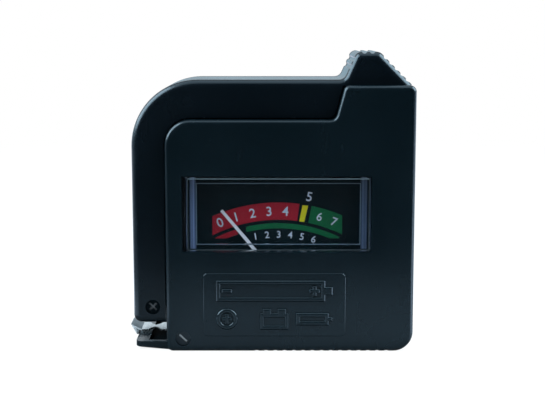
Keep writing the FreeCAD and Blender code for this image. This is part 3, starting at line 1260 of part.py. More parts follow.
stub_front = "(staff_front + tip_length)"
stub_length = f"coil_front - {stub_front}"
front_stub = rod("front_stub", "pivot_x", stub_front, "pivot_z", "staff_radius", stub_length)
front_tip = rod("front_tip", "pivot_x", "staff_front", "pivot_z", "tip_radius", "tip_length")
rear_length = "staff_rear - tip_length - coil_rear"
rear_stub = rod("rear_stub", "pivot_x", "coil_rear", "pivot_z", "staff_radius", rear_length)
rear_tip = rod("rear_tip", "pivot_x", "staff_rear - tip_length", "pivot_z", "tip_radius", "tip_length")
stubs = [fuse("front_pivot", [front_stub, front_tip]), fuse("rear_pivot", [rear_stub, rear_tip])]
keep(group("pivot_stubs", stubs), "pivot_stubs")


def hairspring(name, depth):
    """Flat spiral band around the pivot."""
    inner_radius = size("spring_inner")
    growth = (size("spring_outer") - inner_radius) / size("spring_turns")
    steps = int(size("spring_turns") * SPRING_STEPS)
    sides = []
    for offset in (0.0, size("spring_band")):
        line = []
        for step in range(steps + 1):
            turn = step / SPRING_STEPS
            angle = 2 * math.pi * turn
            radius = inner_radius + offset + growth * turn
            line.append(Vector(radius * math.cos(angle), 0, radius * math.sin(angle)))
        curve = Part.BSplineCurve()
        curve.interpolate(line)
        sides.append(curve.toShape())
    first, second = sides
    ends = [
        Part.makeLine(first.valueAt(limit(first)), second.valueAt(limit(second)))
        for limit in (first_end, last_end)
    ]
    band = Part.Face(Part.Wire(Part.__sortEdges__([first, second] + ends)))
    spring = doc.addObject("Part::Feature", name)
    spring.Shape = band.extrude(Vector(0, size("spring_width"), 0))
    return on_pointer(spring, depth)


def first_end(edge):
    return edge.FirstParameter


def last_end(edge):
    return edge.LastParameter


springs = [
    hairspring("front_hairspring", "front_spring_depth"),
    hairspring("rear_hairspring", "rear_spring_depth"),
]
keep(group("hairsprings", springs), "hairsprings")

# Screws.
front_length = "cover_inner - head_sink - head_thickness - bolt_end / 2"
case_screws = [screw("front_case_screw", *FRONT_BOLT, "head_sink", front_length, slots=SINGLE_SLOT)]
for number, z in enumerate(("side_bolt_low", "side_bolt_high")):
    side_length = f"({side_sink} - face_wall - bolt_end - bolt_gap)"
    side_name = f"side_case_screw_{number}"
    case_screws.append(screw(side_name, SIDE_BOLT, z, side_sink, side_length, False, SINGLE_SLOT))
keep(group("case_screws", case_screws), "case_screws")
chassis_screws = []
for number, (x, z) in enumerate(CHASSIS_BOLTS):
    length = "(chassis_bolt_length - bolt_gap)"
    chassis_screws.append(screw(f"chassis_screw_{number}", x, z, chassis_sink, length, False))
keep(group("chassis_screws", chassis_screws), "chassis_screws")
arm_screw_front = screw("arm_screw_low", *ARM_BOLTS[0], "face_step + head_sink", "arm_bolt_length")
top_length = "(arm_bolt_length - head_thickness - bolt_gap)"
arm_screw_rear = screw("arm_screw_high", *ARM_BOLTS[1], top_sink, top_length, False)
keep(group("arm_screws", [arm_screw_front, arm_screw_rear]), "arm_screws")

# Resistors with their leads.
def resistor(name, x, depth, radius, length):
    barrel = rod(f"{name}_body", f"{x} - {length} / 2", depth, "resistor_level", radius, length, ALONG_X)
    keep(barrel, name)
    left = f"{x} - {length} / 2 - lead_length"
    right = f"{x} + {length} / 2"
    return [
        rod(f"{name}_lead_{number}", start, depth, "resistor_level", "lead_radius", "lead_length", ALONG_X)
        for number, start in enumerate((left, right))
    ]


load_end = "(load_x + load_length / 2 + lead_length)"
small_x = f"({load_end} + 2 * lead_radius + lead_length + small_length / 2)"
leads = resistor("load_resistor", "load_x", "load_depth", "load_radius", "load_length")
leads += resistor("series_resistor", small_x, "series_depth", "small_radius", "small_length")
leads += resistor("dropping_resistor", small_x, "dropper_depth", "small_radius", "small_length")
bar_x = f"{load_end} + lead_radius"
bar_length = "dropper_depth - series_depth + 2 * lead_radius"
bar_start = "series_depth - lead_radius"
leads.append(rod("lead_bar", bar_x, bar_start, "resistor_level", "lead_radius", bar_length))
keep(group("resistor_leads", leads), "resistor_leads")

pins = []
pin_length = "frame_plate + terminal_length"
for number, (x, z) in enumerate(terminals):
    pins.append(rod(f"meter_terminal_{number}", x, "plate_front", z, "terminal_radius", pin_length))
keep(group("meter_terminals", pins), "meter_terminals")

# Nine volt contacts set in the underside.
stud_solids = []
stem_length = "side_wall - stud_sink + stud_thickness"
flange_radius = "stud_radius + stud_flange"
for number, x in enumerate(STUD_XS):
    stem = rod(f"stud_stem_{number}", x, "block_depth", "stud_sink", "stud_radius", stem_length, ALONG_Z)
    flange_name = f"stud_flange_{number}"
    flange = rod(flange_name, x, "block_depth", "side_wall", flange_radius, "stud_thickness", ALONG_Z)
    stud_solids.append(fuse(f"stud_{number}", [stem, flange]))
keep(group("nine_volt_contacts", stud_solids), "nine_volt_contacts")


def wire_path(points):
    """Line through the points with rounded bends."""
    edges = []
    last = points[0]
    for before, corner, after in zip(points, points[1:], points[2:]):
        back = (before - corner).normalize()
        ahead = (after - corner).normalize()
        half = back.getAngle(ahead) / 2
        shorter = min(before.distanceToPoint(corner), after.distanceToPoint(corner))
        bend = min(size("bend_radius"), shorter / 2 * math.tan(half))
        reach = bend / math.tan(half)
        start = corner + back * reach
        end = corner + ahead * reach
        middle = corner + (back + ahead).normalize() * (bend / math.sin(half) - bend)
        if last.distanceToPoint(start) > NEAR:
            edges.append(Part.makeLine(last, start))
        edges.append(Part.Arc(start, middle, end).toShape())
        last = end
    if last.distanceToPoint(points[-1]) > NEAR:
        edges.append(Part.makeLine(last, points[-1]))
    return Part.Wire(edges)


def wire(name, points):
    """Hook-up wire along a route of points given from the front face."""
    path = wire_path([Vector(*point) for point in points])
    start = path.Edges[0]
    first = start.FirstParameter
    section = Part.makeCircle(size("wire_radius"), start.valueAt(first), start.tangentAt(first))
    solid = doc.addObject("Part::Feature", name)
    solid.Shape = path.makePipeShell([Part.Wire(section)], True, False)
    solid.Placement = Placement(Vector(0, size("front_face"), 0), Rotation())
    return solid


doc.recompute()
left_side = size("left_side")
tail_right = left_side + size("tail_set") + size("contact_thickness")
tail_high = size("contact_level") + size("tail_tall")
contact_mid = size("contact_front") + size("contact_width") / 2
level = size("resistor_level")
radius = size("wire_radius")
turn = 2 * size("bend_radius")
load_depth = size("load_depth")
load_left = size("load_x") - size("load_length") / 2 - size("lead_length")
junction = size("load_x") + size("load_length") / 2 + size("lead_length") + 2 * size("lead_radius")
small_right = junction + 2 * size("lead_length") + size("small_length")
series_depth = size("series_depth")
dropper_depth = size("dropper_depth")
pin_rear = size("skirt_rear") + size("terminal_length")
pin_left = size("pivot_x") - size("terminal_x")
pin_right = size("pivot_x") + size("terminal_x")
pin_z = size("terminal_z")
over_meter = size("skirt_top") + 2 * radius
wall_run = left_side + size("side_wall") + 3 * radius
stud_top = size("side_wall") + size("stud_thickness")
stud_left = size("block_x") - size("block_pitch") / 2
stud_right = size("block_x") + size("block_pitch") / 2
stud_depth = size("block_depth")
under_cup = stud_top + turn - radius
beside_boss = left_side + size("case_bolt_x") + size("boss_radius") + turn
tail_level = size("post_low") - size("post_radius") - 2 * radius
tail_depth = contact_mid + size("contact_width") / 4
load_start = load_left - turn + radius
brush_depth = size("chassis_front") - size("brush_thickness") - radius
brush_level = size("brush_low") + size("brush_base") / 3
brush_turn = size("notch_x") + radius
series_out = small_right + turn - radius
pin_back = pin_rear + turn

# Lower contact to the load resistor, up the left wall.
common_wire = wire("common_wire", [
    (tail_right + radius, tail_depth, tail_high - turn),
    (wall_run, tail_depth, tail_high + turn),
    (wall_run, tail_depth, over_meter),
    (load_start, tail_depth, over_meter),
    (load_start, load_depth, over_meter),
    (load_start, load_depth, level),
    (load_left, load_depth, level),
])
# Load resistor to the left meter terminal.
meter_wire = wire("meter_wire", [
    (load_left + turn / 2, load_depth, level - size("lead_radius")),
    (load_left + turn / 2, load_depth, over_meter),
    (load_left + turn / 2, pin_back, over_meter),
    (pin_left, pin_back, over_meter),
    (pin_left, pin_back, pin_z),
    (pin_left, pin_rear, pin_z),
])
# Brush to the junction of the three resistors.
brush_wire = wire("brush_wire", [
    (size("bus_x"), brush_depth, brush_level),
    (brush_turn, brush_depth, brush_level),
    (brush_turn, load_depth, brush_level),
    (brush_turn, load_depth, level),
    (junction, load_depth, level),
])
# Series resistor to the right meter terminal.
series_wire = wire("series_wire", [
    (small_right, series_depth, level),
    (series_out, series_depth, level),
    (series_out, series_depth, over_meter),
    (series_out, pin_back, over_meter),
    (pin_right, pin_back, over_meter),
    (pin_right, pin_back, pin_z),
    (pin_right, pin_rear, pin_z),
])
# Dropping resistor to the right nine volt contact, down beside the guide rail.
block_wire = wire("block_wire", [
    (small_right, dropper_depth, level),
    (stud_right, dropper_depth, level),
    (stud_right, dropper_depth, level - turn),
    (stud_right, stud_depth, level - turn),
    (stud_right, stud_depth, stud_top),
])
# Left nine volt contact to the lower contact, under the meter.
block_return_wire = wire("block_return_wire", [
    (stud_left, stud_depth, stud_top),
    (stud_left, stud_depth, under_cup),
    (beside_boss, stud_depth, under_cup),
    (beside_boss, stud_depth, tail_level),
    (tail_right, stud_depth, tail_level),
])
wires = [common_wire, meter_wire, brush_wire, series_wire, block_wire, block_return_wire]
keep(group("hookup_wires", wires), "hookup_wires")
# Arm contact to the bus strip, inside the arm.
arm_tail_mid = size("arm_left") + size("arm_wall") + size("seat_gap") + radius
arm_run = left_side - size("arm_width") / 2
arm_bend = size("housing_height") - turn
bar_level = size("bus_top") - size("bus_width") / 2
bus_end = size("bus_left") + size("bus_width") / 2
arm_wire = wire("arm_wire", [
    (arm_tail_mid, contact_mid, size("arm_contact_tail")),
    (arm_run, contact_mid, size("arm_contact_tail") + turn + radius),
    (arm_run, contact_mid, arm_bend),
    (left_side + radius, contact_mid, bar_level),
    (bus_end, contact_mid, bar_level),
    (bus_end, size("arm_split") + size("seat_gap") / 2, bar_level),
])
keep(arm_wire, "arm_wire")

doc.recompute()
for thing in doc.Objects:
    if "Invalid" in thing.State or "Error" in thing.State:
        raise RuntimeError(f"{thing.Name} did not rebuild")
for piece in pieces:
    if piece.Shape.isNull() or not piece.Shape.isValid():
        raise RuntimeError(f"{piece.Label} is not a sound shape")
os.makedirs("parts", exist_ok=True)
for piece in pieces:
    piece.Shape.exportStep(f"parts/{piece.Label}.step")
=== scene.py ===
import math

import bmesh
import bpy
from mathutils import Matrix, Vector


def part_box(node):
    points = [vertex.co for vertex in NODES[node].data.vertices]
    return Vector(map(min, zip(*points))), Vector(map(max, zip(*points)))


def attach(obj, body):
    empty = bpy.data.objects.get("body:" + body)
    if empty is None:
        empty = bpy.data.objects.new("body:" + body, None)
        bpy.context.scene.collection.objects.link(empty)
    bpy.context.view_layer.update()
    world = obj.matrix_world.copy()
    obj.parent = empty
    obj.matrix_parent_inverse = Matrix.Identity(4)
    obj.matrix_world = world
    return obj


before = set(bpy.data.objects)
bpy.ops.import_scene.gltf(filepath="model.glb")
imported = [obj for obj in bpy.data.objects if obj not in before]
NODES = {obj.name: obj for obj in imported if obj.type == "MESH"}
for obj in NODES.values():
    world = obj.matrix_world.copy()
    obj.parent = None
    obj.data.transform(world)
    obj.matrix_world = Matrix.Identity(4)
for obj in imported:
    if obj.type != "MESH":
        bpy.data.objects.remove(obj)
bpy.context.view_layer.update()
MM = 0.001
EVEN = (1.0, 1.0, 1.0)
WHITE = (1.0, 1.0, 1.0)
NONE_TO_ALL = (0.0, 1.0)


# Helpers for node trees.
def new_material(name):
    """A material with its node tree and its main shader."""
    material = bpy.data.materials.new(name)
    material.use_nodes = True
    tree = material.node_tree
    return material, tree, tree.nodes["Principled BSDF"]


def add_node(tree, kind, values=None, **settings):
    """A shader node with its settings and the values of its inputs."""
    node = tree.nodes.new("ShaderNode" + kind)
    for key, value in settings.items():
        setattr(node, key, value)
    for key, value in (values or {}).items():
        node.inputs[key].default_value = value
    return node


def noise(tree, scale, detail=3.0, stretch=EVEN):
    """Noise over the object's own coordinates, in features per metre."""
    place = add_node(tree, "TexCoord")
    mapping = add_node(tree, "Mapping", {"Scale": stretch})
    pattern = add_node(tree, "TexNoise", {"Scale": scale, "Detail": detail})
    tree.links.new(place.outputs["Object"], mapping.inputs["Vector"])
    tree.links.new(mapping.outputs["Vector"], pattern.inputs["Vector"])
    return pattern.outputs["Fac"]


def remap(tree, value, span, result=NONE_TO_ALL):
    """The value's place in a span as a value between two results, held at its ends."""
    limits = {"From Min": span[0], "From Max": span[1], "To Min": result[0], "To Max": result[1]}
    node = add_node(tree, "MapRange", limits)
    tree.links.new(value, node.inputs["Value"])
    return node.outputs["Result"]


def patches(tree, scale, span=(0.3, 0.7), result=NONE_TO_ALL, detail=3.0, stretch=EVEN):
    """Soft patches of noise, which cover less of the surface the higher the span is."""
    return remap(tree, noise(tree, scale, detail, stretch), span, result)


def combine(tree, operation, first, second, clamp=True):
    """One step of arithmetic with two numbers or sockets, held between 0 and 1 where it is clamped."""
    node = add_node(tree, "Math", operation=operation, use_clamp=clamp)
    for socket, value in zip(node.inputs, (first, second)):
        if isinstance(value, float):
            socket.default_value = value
        else:
            tree.links.new(value, socket)
    return node.outputs[0]


def blend_colours(tree, factor, first, second):
    """A colour between two colours or sockets."""
    node = add_node(tree, "Mix", data_type="RGBA")
    factor_socket = node.inputs[0]
    colour_sockets = node.inputs[6:8]
    tree.links.new(factor, factor_socket)
    for socket, value in zip(colour_sockets, (first, second)):
        if isinstance(value, tuple):
            socket.default_value = (*value, 1.0)
        else:
            tree.links.new(value, socket)
    return node.outputs[2]


def split_place(tree, coordinates):
    """The X, Y and Z of a shading point in the given kind of coordinates."""
    place = add_node(tree, "TexCoord")
    split = add_node(tree, "SeparateXYZ")
    tree.links.new(place.outputs[coordinates], split.inputs[0])
    return split.outputs


def bump(tree, shader, height, strength, depth):
    """Raises and sinks the surface by up to the depth, in millimetres."""
    node = add_node(tree, "Bump", {"Strength": strength, "Distance": depth * MM})
    tree.links.new(height, node.inputs["Height"])
    tree.links.new(node.outputs["Normal"], shader.inputs["Normal"])


def worn_edges(tree, radius):
    """High along outer and inner edges, from a rounded normal set against the real one."""
    rounded = add_node(tree, "Bevel", {"Radius": radius * MM}, samples=4)
    surface = add_node(tree, "NewGeometry")
    dot = add_node(tree, "VectorMath", operation="DOT_PRODUCT")
    tree.links.new(rounded.outputs["Normal"], dot.inputs[0])
    tree.links.new(surface.outputs["Normal"], dot.inputs[1])
    agreement = (0.99, 0.80)
    return remap(tree, dot.outputs["Value"], agreement)


def scaled(colour, factor):
    """A colour made darker or paler."""
    return tuple(channel * factor for channel in colour)


# Moulded plastic: sizes of its patches in features per metre, and what they do to colour and roughness.
PLASTIC_CLOUDS = 55.0
PLASTIC_SCUFFS = 420.0
PLASTIC_RUBS = 300.0
PLASTIC_EDGE = 0.35
CLOUD_SHADES = (0.85, 1.2)
CLOUD_GLOSS = (-0.03, 0.04)
SCUFF_DULLING = 0.05
EDGE_SHADE = 2.4
EDGE_WEAR = 0.5
EDGE_GLOSS = 0.08
GRAIN_STRENGTH = 0.35


def plastic(name, colour, roughness, specular, grain, relief, tint=WHITE):
    """Moulded plastic with a fine grain, uneven gloss, scuffs and paler edges."""
    material, tree, shader = new_material(name)
    clouds = patches(tree, PLASTIC_CLOUDS)
    scuffs = patches(tree, PLASTIC_SCUFFS, span=(0.55, 0.75), detail=5.0, stretch=(1.0, 1.0, 0.25))
    rubs = patches(tree, PLASTIC_RUBS, result=(0.2, 1.0))
    edges = worn_edges(tree, PLASTIC_EDGE)
    dark, pale = (scaled(colour, shade) for shade in CLOUD_SHADES)
    base = blend_colours(tree, clouds, dark, pale)
    rubbed = combine(tree, "MULTIPLY", edges, combine(tree, "MULTIPLY", rubs, EDGE_WEAR))
    wear_and_glint = blend_colours(tree, rubbed, base, scaled(colour, EDGE_SHADE))
    tree.links.new(wear_and_glint, shader.inputs["Base Color"])
    uneven = remap(tree, clouds, NONE_TO_ALL, [roughness + change for change in CLOUD_GLOSS])
    scuffed = combine(tree, "ADD", uneven, combine(tree, "MULTIPLY", scuffs, SCUFF_DULLING))
    smooth_edges = combine(tree, "MULTIPLY", edges, EDGE_GLOSS)
    tree.links.new(combine(tree, "SUBTRACT", scuffed, smooth_edges), shader.inputs["Roughness"])
    shader.inputs["Specular IOR Level"].default_value = specular
    shader.inputs["Specular Tint"].default_value = (*tint, 1.0)
    bump(tree, shader, noise(tree, grain, detail=2.0), GRAIN_STRENGTH, relief)
    return material


# Metal: sizes of its stains and lines in features per metre, and what they do to colour and roughness.
METAL_STAINS = 190.0
METAL_LINES = 2400.0
METAL_EDGE = 0.15
METAL_EDGE_SHADE = 1.08
STAIN_DULLING = 0.14
LINE_DULLING = 0.04
LINE_STRENGTH = 0.05
LINE_RELIEF = 0.006


def metal(name, colour, roughness, stretch, stain):
    """Bare or plated metal with fine lines, rougher and darker stains, and rubbed edges."""
    material, tree, shader = new_material(name)
    stains = patches(tree, METAL_STAINS, span=(0.35, 0.7), detail=4.0)
    lines = noise(tree, METAL_LINES, stretch=stretch)
    edges = worn_edges(tree, METAL_EDGE)
    base = blend_colours(tree, stains, colour, scaled(colour, stain))
    rubbed = blend_colours(tree, edges, base, scaled(colour, METAL_EDGE_SHADE))
    tree.links.new(rubbed, shader.inputs["Base Color"])
    shader.inputs["Metallic"].default_value = 1.0
    uneven = remap(tree, stains, NONE_TO_ALL, (roughness, roughness + STAIN_DULLING))
    brushed = remap(tree, lines, (0.4, 0.6), (0.0, LINE_DULLING))
    tree.links.new(combine(tree, "ADD", uneven, brushed), shader.inputs["Roughness"])
    bump(tree, shader, lines, LINE_STRENGTH, LINE_RELIEF)
    return material


# Paint: sizes of its speckle and thin patches in features per metre, and what they do to the roughness.
PAINT_SPECKLE = 2600.0
PAINT_THIN = 240.0
SPECKLE_GLOSS = (-0.05, 0.07)
SPECKLE_STRENGTH = 0.15
SPECKLE_RELIEF = 0.01


def paint(name, colour, roughness, specular=0.4, mottle=0.12):
    """Printed or sprayed coat with fine speckle and thin patches."""
    material, tree, shader = new_material(name)
    speckle = patches(tree, PAINT_SPECKLE, span=(0.35, 0.65), detail=4.0)
    thin = patches(tree, PAINT_THIN)
    base = blend_colours(tree, speckle, scaled(colour, 1.0 - mottle), colour)
    coat = blend_colours(tree, thin, scaled(colour, 1.0 - mottle / 2), base)
    tree.links.new(coat, shader.inputs["Base Color"])
    uneven = remap(tree, speckle, NONE_TO_ALL, [roughness + change for change in SPECKLE_GLOSS])
    tree.links.new(uneven, shader.inputs["Roughness"])
    shader.inputs["Specular IOR Level"].default_value = specular
    bump(tree, shader, speckle, SPECKLE_STRENGTH, SPECKLE_RELIEF)
    return material


# Side wall of the clear window: a dark sheet with painted streaks of reflected and refracted light. Its
# colours, and the places of its streaks across it with their shares of the pale streak colour.
WALL_DARK = (0.022, 0.040, 0.070)
STREAK_LIGHT = (0.28, 0.37, 0.60)
FROST_ROUGHNESS = (0.5, 0.3)
FROST_LINES = 1500.0
FROST_STRENGTH = 0.1
FROST_RELIEF = 0.01
LEFT_LIGHT_STREAKS = [(0.08, 0.10), (0.16, 0.44), (0.50, 0.40), (0.58, 1.0), (0.72, 0.50), (0.88, 0.22)]
RIGHT_LIGHT_STREAKS = [(0.18, 0.05), (0.32, 0.38), (0.48, 0.26), (0.62, 0.10), (0.82, 0.28)]


def streaked(name, streaks):
    """Moulded wall seen through clear plastic, with upright painted streaks of reflected and refracted
    light.
    """
    material, tree, shader = new_material(name)
    ramp = add_node(tree, "ValToRGB")
    tree.links.new(split_place(tree, "Generated")["X"], ramp.inputs[0])
    stops = ramp.color_ramp.elements
    stops[0].color = stops[1].color = (0.0, 0.0, 0.0, 1.0)
    for position, share in streaks:
        stops.new(position).color = (share, share, share, 1.0)
    upright = (1.0, 1.0, 0.02)
    fine = patches(tree, FROST_LINES, span=(0.32, 0.68), result=(0.75, 1.0), detail=2.0, stretch=upright)
    light_share = combine(tree, "MULTIPLY", ramp.outputs["Color"], fine)
    tree.links.new(blend_colours(tree, light_share, WALL_DARK, STREAK_LIGHT), shader.inputs["Base Color"])
    tree.links.new(remap(tree, light_share, NONE_TO_ALL, FROST_ROUGHNESS), shader.inputs["Roughness"])
    bump(tree, shader, fine, FROST_STRENGTH, FROST_RELIEF)
    return material


# Clear plastic: smears and ripple in features per metre, tints where it is clean and smeared.
CLEAR_SMEARS = 130.0
CLEAR_RIPPLE = 900.0
CLEAR_TINTS = ((0.90, 0.95, 1.0), (0.84, 0.90, 0.96))
CLEAR_ROUGHNESS = (0.02, 0.09)
CLEAR_SHADOW = (0.90, 0.93, 0.97)
CLEAR_BENDING = 1.49
RIPPLE_STRENGTH = 0.04
RIPPLE_RELIEF = 0.01


def clear_plastic(name):
    """Clear moulded plastic with faint smears, which lets light through to the dial."""
    material, tree, shader = new_material(name)
    smears = patches(tree, CLEAR_SMEARS, span=(0.45, 0.8), detail=5.0, stretch=(1.0, 1.0, 0.4))
    tree.links.new(remap(tree, smears, NONE_TO_ALL, CLEAR_ROUGHNESS), shader.inputs["Roughness"])
    tree.links.new(blend_colours(tree, smears, *CLEAR_TINTS), shader.inputs["Base Color"])
    shader.inputs["Transmission Weight"].default_value = 1.0
    shader.inputs["IOR"].default_value = CLEAR_BENDING
    bump(tree, shader, noise(tree, CLEAR_RIPPLE, detail=2.0), RIPPLE_STRENGTH, RIPPLE_RELIEF)
    path = add_node(tree, "LightPath")
    passing = add_node(tree, "BsdfTransparent", {"Color": (*CLEAR_SHADOW, 1.0)})
    choice = add_node(tree, "MixShader")
    output = tree.nodes["Material Output"]
    tree.links.new(path.outputs["Is Shadow Ray"], choice.inputs[0])
    tree.links.new(shader.outputs[0], choice.inputs[1])
    tree.links.new(passing.outputs[0], choice.inputs[2])
    tree.links.new(choice.outputs[0], output.inputs["Surface"])
    return material


# Resistor glaze: ring colours, and where the rings start as shares of the body's length.
BROWN = (0.16, 0.05, 0.02)
BLACK = (0.01, 0.01, 0.01)
RED = (0.55, 0.02, 0.02)
GOLD = (0.55, 0.33, 0.06)
LOAD_RINGS = [(0.2, BROWN), (0.36, BLACK), (0.52, BLACK), (0.75, GOLD)]
SMALL_RINGS = [(0.18, RED), (0.34, BLACK), (0.5, BROWN), (0.75, GOLD)]
RING_WIDTH = 0.07
LAST_STOP = 0.95
GLAZE_MOTTLE = 900.0
GLAZE_SHADE = 0.82
GLAZE_ROUGHNESS = (0.28, 0.42)
GLAZE_STRENGTH = 0.2
GLAZE_RELIEF = 0.02


def resistor_coat(name, colour, rings):
    """Glazed resistor body with rings of paint around it."""
    material, tree, shader = new_material(name)
    ramp = add_node(tree, "ValToRGB")
    ramp.color_ramp.interpolation = "CONSTANT"
    tree.links.new(split_place(tree, "Generated")["X"], ramp.inputs[0])
    stops = ramp.color_ramp.elements
    stops[1].position = LAST_STOP
    stops[0].color = stops[1].color = (*colour, 1.0)
    for start, ring in rings:
        stops.new(start).color = (*ring, 1.0)
        stops.new(start + RING_WIDTH).color = (*colour, 1.0)
    glaze = ramp.outputs["Color"]
    mottle = patches(tree, GLAZE_MOTTLE, detail=4.0)
    dark = add_node(tree, "HueSaturation", {"Value": GLAZE_SHADE})
    tree.links.new(glaze, dark.inputs["Color"])
    tree.links.new(blend_colours(tree, mottle, dark.outputs["Color"], glaze), shader.inputs["Base Color"])
    tree.links.new(remap(tree, mottle, NONE_TO_ALL, GLAZE_ROUGHNESS), shader.inputs["Roughness"])
    bump(tree, shader, mottle, GLAZE_STRENGTH, GLAZE_RELIEF)
    return material


# Finishes: after its colour each has its roughness, and a plastic then the strength of what it mirrors.
# Grain is in features per metre, relief is in millimetres, and lines are drawn out along one axis.
CASE = (0.0016, 0.0053, 0.0078)
ARM = (0.0013, 0.0034, 0.0056)
COVER = scaled(CASE, 1.1)
# Painted shade: the case colour made darker for faces that lie in shade.
SHADED_CASE = scaled(CASE, 0.6)
# Painted reflection colour: a bluish tint on the reflections of the plastic, standing in for the bluish
# light around it.
BLUE_REFLECTION_TINT = (0.74, 0.90, 1.0)
LINES_DEEP = (1.0, 0.08, 1.0)
LINES_ACROSS = (0.05, 1.0, 1.0)
LINES_UPRIGHT = (1.0, 1.0, 0.06)

finish = {
    "case": plastic("case_black", CASE, 0.24, 0.5, grain=4200.0, relief=0.025, tint=BLUE_REFLECTION_TINT),
    "cover": plastic("cover_black", COVER, 0.26, 0.5, grain=4000.0, relief=0.025, tint=BLUE_REFLECTION_TINT),
    "arm": plastic("arm_black", ARM, 0.24, 0.5, grain=4600.0, relief=0.018, tint=BLUE_REFLECTION_TINT),
    "arm_rear": plastic("arm_rear_black", ARM, 0.42, 0.3, grain=3600.0, relief=0.03, tint=BLUE_REFLECTION_TINT),
    "polished": plastic("edge_black", CASE, 0.17, 1.0, grain=4200.0, relief=0.01, tint=BLUE_REFLECTION_TINT),
    "shaded_matt": plastic("shaded_matt_black", SHADED_CASE, 0.80, 0.03, grain=2600.0, relief=0.05),
    "inner": plastic("inner_grey", (0.035, 0.035, 0.04), 0.5, 0.4, grain=2600.0, relief=0.04),
    "frame": plastic("frame_grey", (0.06, 0.06, 0.065), 0.48, 0.4, grain=2600.0, relief=0.04),
    "clear": clear_plastic("window_clear"),
    "contact": metal("contact_nickel", (0.76, 0.81, 0.83), 0.17, LINES_DEEP, stain=0.9),
    # Painted shade: a darker copy of the contact metal for its turned up lip.
    "shaded_lip": metal("lip_shaded", (0.42, 0.47, 0.50), 0.3, LINES_DEEP, stain=0.8),
    "brass": metal("stud_brass", (0.78, 0.58, 0.28), 0.26, LINES_DEEP, stain=0.75),
    "spring_brass": metal("spring_brass", (0.74, 0.54, 0.26), 0.3, LINES_ACROSS, stain=0.7),
    "screw": metal("screw_blacked", (0.050, 0.064, 0.074), 0.26, EVEN, stain=0.7),
    "steel": metal("small_steel", (0.50, 0.50, 0.52), 0.3, EVEN, stain=0.75),
    "iron": metal("soft_iron", (0.36, 0.36, 0.38), 0.42, LINES_DEEP, stain=0.65),
    "copper": metal("coil_copper", (0.68, 0.30, 0.14), 0.32, LINES_UPRIGHT, stain=0.7),
    "tin": metal("tinned_lead", (0.66, 0.66, 0.65), 0.33, LINES_ACROSS, stain=0.8),
    # Painted highlights: a pale one for the case screw's slot and the contact's cut edge, a faint one for
    # the arm screw's slot.
    "pale_glint": paint("slot_pale_glint", (0.55, 0.60, 0.64), 0.4, specular=0.5, mottle=0.3),
    "wear_and_glint": paint("slot_faint_glint", (0.10, 0.115, 0.13), 0.4, specular=0.5, mottle=0.3),
    # Painted light: dark sheets with pale streaks, standing in for light reflected and refracted in the
    # window's side walls.
    "light_streaks_left": streaked("wall_light_streaks_left", LEFT_LIGHT_STREAKS),
    "light_streaks_right": streaked("wall_light_streaks_right", RIGHT_LIGHT_STREAKS),
    # Painted highlights along the window's moulded edges, the one at the top of its front brightest.
    "inner_rim_highlight": paint("wall_rim_highlight", (0.17, 0.23, 0.28), 0.4, mottle=0.3),
    "top_rim_highlight": paint("front_rim_top_highlight", (0.125, 0.185, 0.215), 0.4, mottle=0.3),
    "side_rim_highlight": paint("front_rim_side_highlight", (0.030, 0.046, 0.056), 0.4, mottle=0.3),
    "magnet": paint("ferrite", (0.045, 0.045, 0.05), 0.5),
    "dial": paint("dial_black", (0.0010, 0.0110, 0.0145), 0.5, specular=0.2),
    "white": paint("ink_white", (0.76, 0.81, 0.90), 0.5, specular=0.3),
    "pointer": paint("pointer_white", (0.98, 0.92, 0.92), 0.42, mottle=0.06),
    "red": paint("ink_red", (0.50, 0.010, 0.026), 0.46, specular=0.25),
    "yellow": paint("ink_yellow", (0.92, 0.78, 0.015), 0.46, specular=0.25),
    "green": paint("ink_green", (0.002, 0.165, 0.052), 0.46, specular=0.25),
    "wire_red": paint("wire_red", (0.30, 0.02, 0.02), 0.5),
    "wire_black": paint("wire_black", (0.02, 0.02, 0.022), 0.5),
    "load": resistor_coat("load_coat", (0.30, 0.42, 0.40), LOAD_RINGS),
    "small": resistor_coat("small_coat", (0.58, 0.43, 0.25), SMALL_RINGS),
}

node_finish = {
    "case": ["front_housing"],
    "cover": ["rear_cover"],
    "arm": ["arm_shell"],
    "arm_rear": ["arm_back"],
    "inner": ["chassis_plate"],
    "frame": ["meter_frame"],
    "clear": ["meter_window"],
    "contact": ["lower_contact", "arm_contact", "nine_volt_contacts"],
    "brass": ["front_bridge", "rear_bridge", "bearing_screws", "hairsprings", "counterweight", "bus_strip"],
    "spring_brass": ["contact_brush", "meter_terminals"],
    "screw": ["case_screws", "arm_screws", "chassis_screws"],
    "steel": ["pivot_stubs"],
    "iron": ["iron_ring", "iron_core"],
    "copper": ["moving_coil"],
    "tin": ["resistor_leads"],
    "magnet": ["pole_magnets"],
    "dial": ["dial_plate", "dial_screws", "pointer_stops"],
    "pointer": ["pointer"],
    "wire_red": ["hookup_wires"],
    "wire_black": ["arm_wire"],
    "load": ["load_resistor"],
    "small": ["series_resistor", "dropping_resistor"],
}
for key, names in node_finish.items():
    for name in names:
        NODES[name].data.materials.clear()
        NODES[name].data.materials.append(finish[key])


# Second finishes on some faces. Boxes are in millimetres, and how far a face looks to the front
# or rises to the top runs from -1 to 1.
ANY_WAY = (-2.0, 2.0)
TO_FRONT = (0.9, 2.0)
NOT_FLAT = (-2.0, 0.985)
SIDEWAYS = (-0.5, 0.5)
DOWNWARD = (-2.0, -0.3)
SLANTING_UP = (0.5, 0.95)


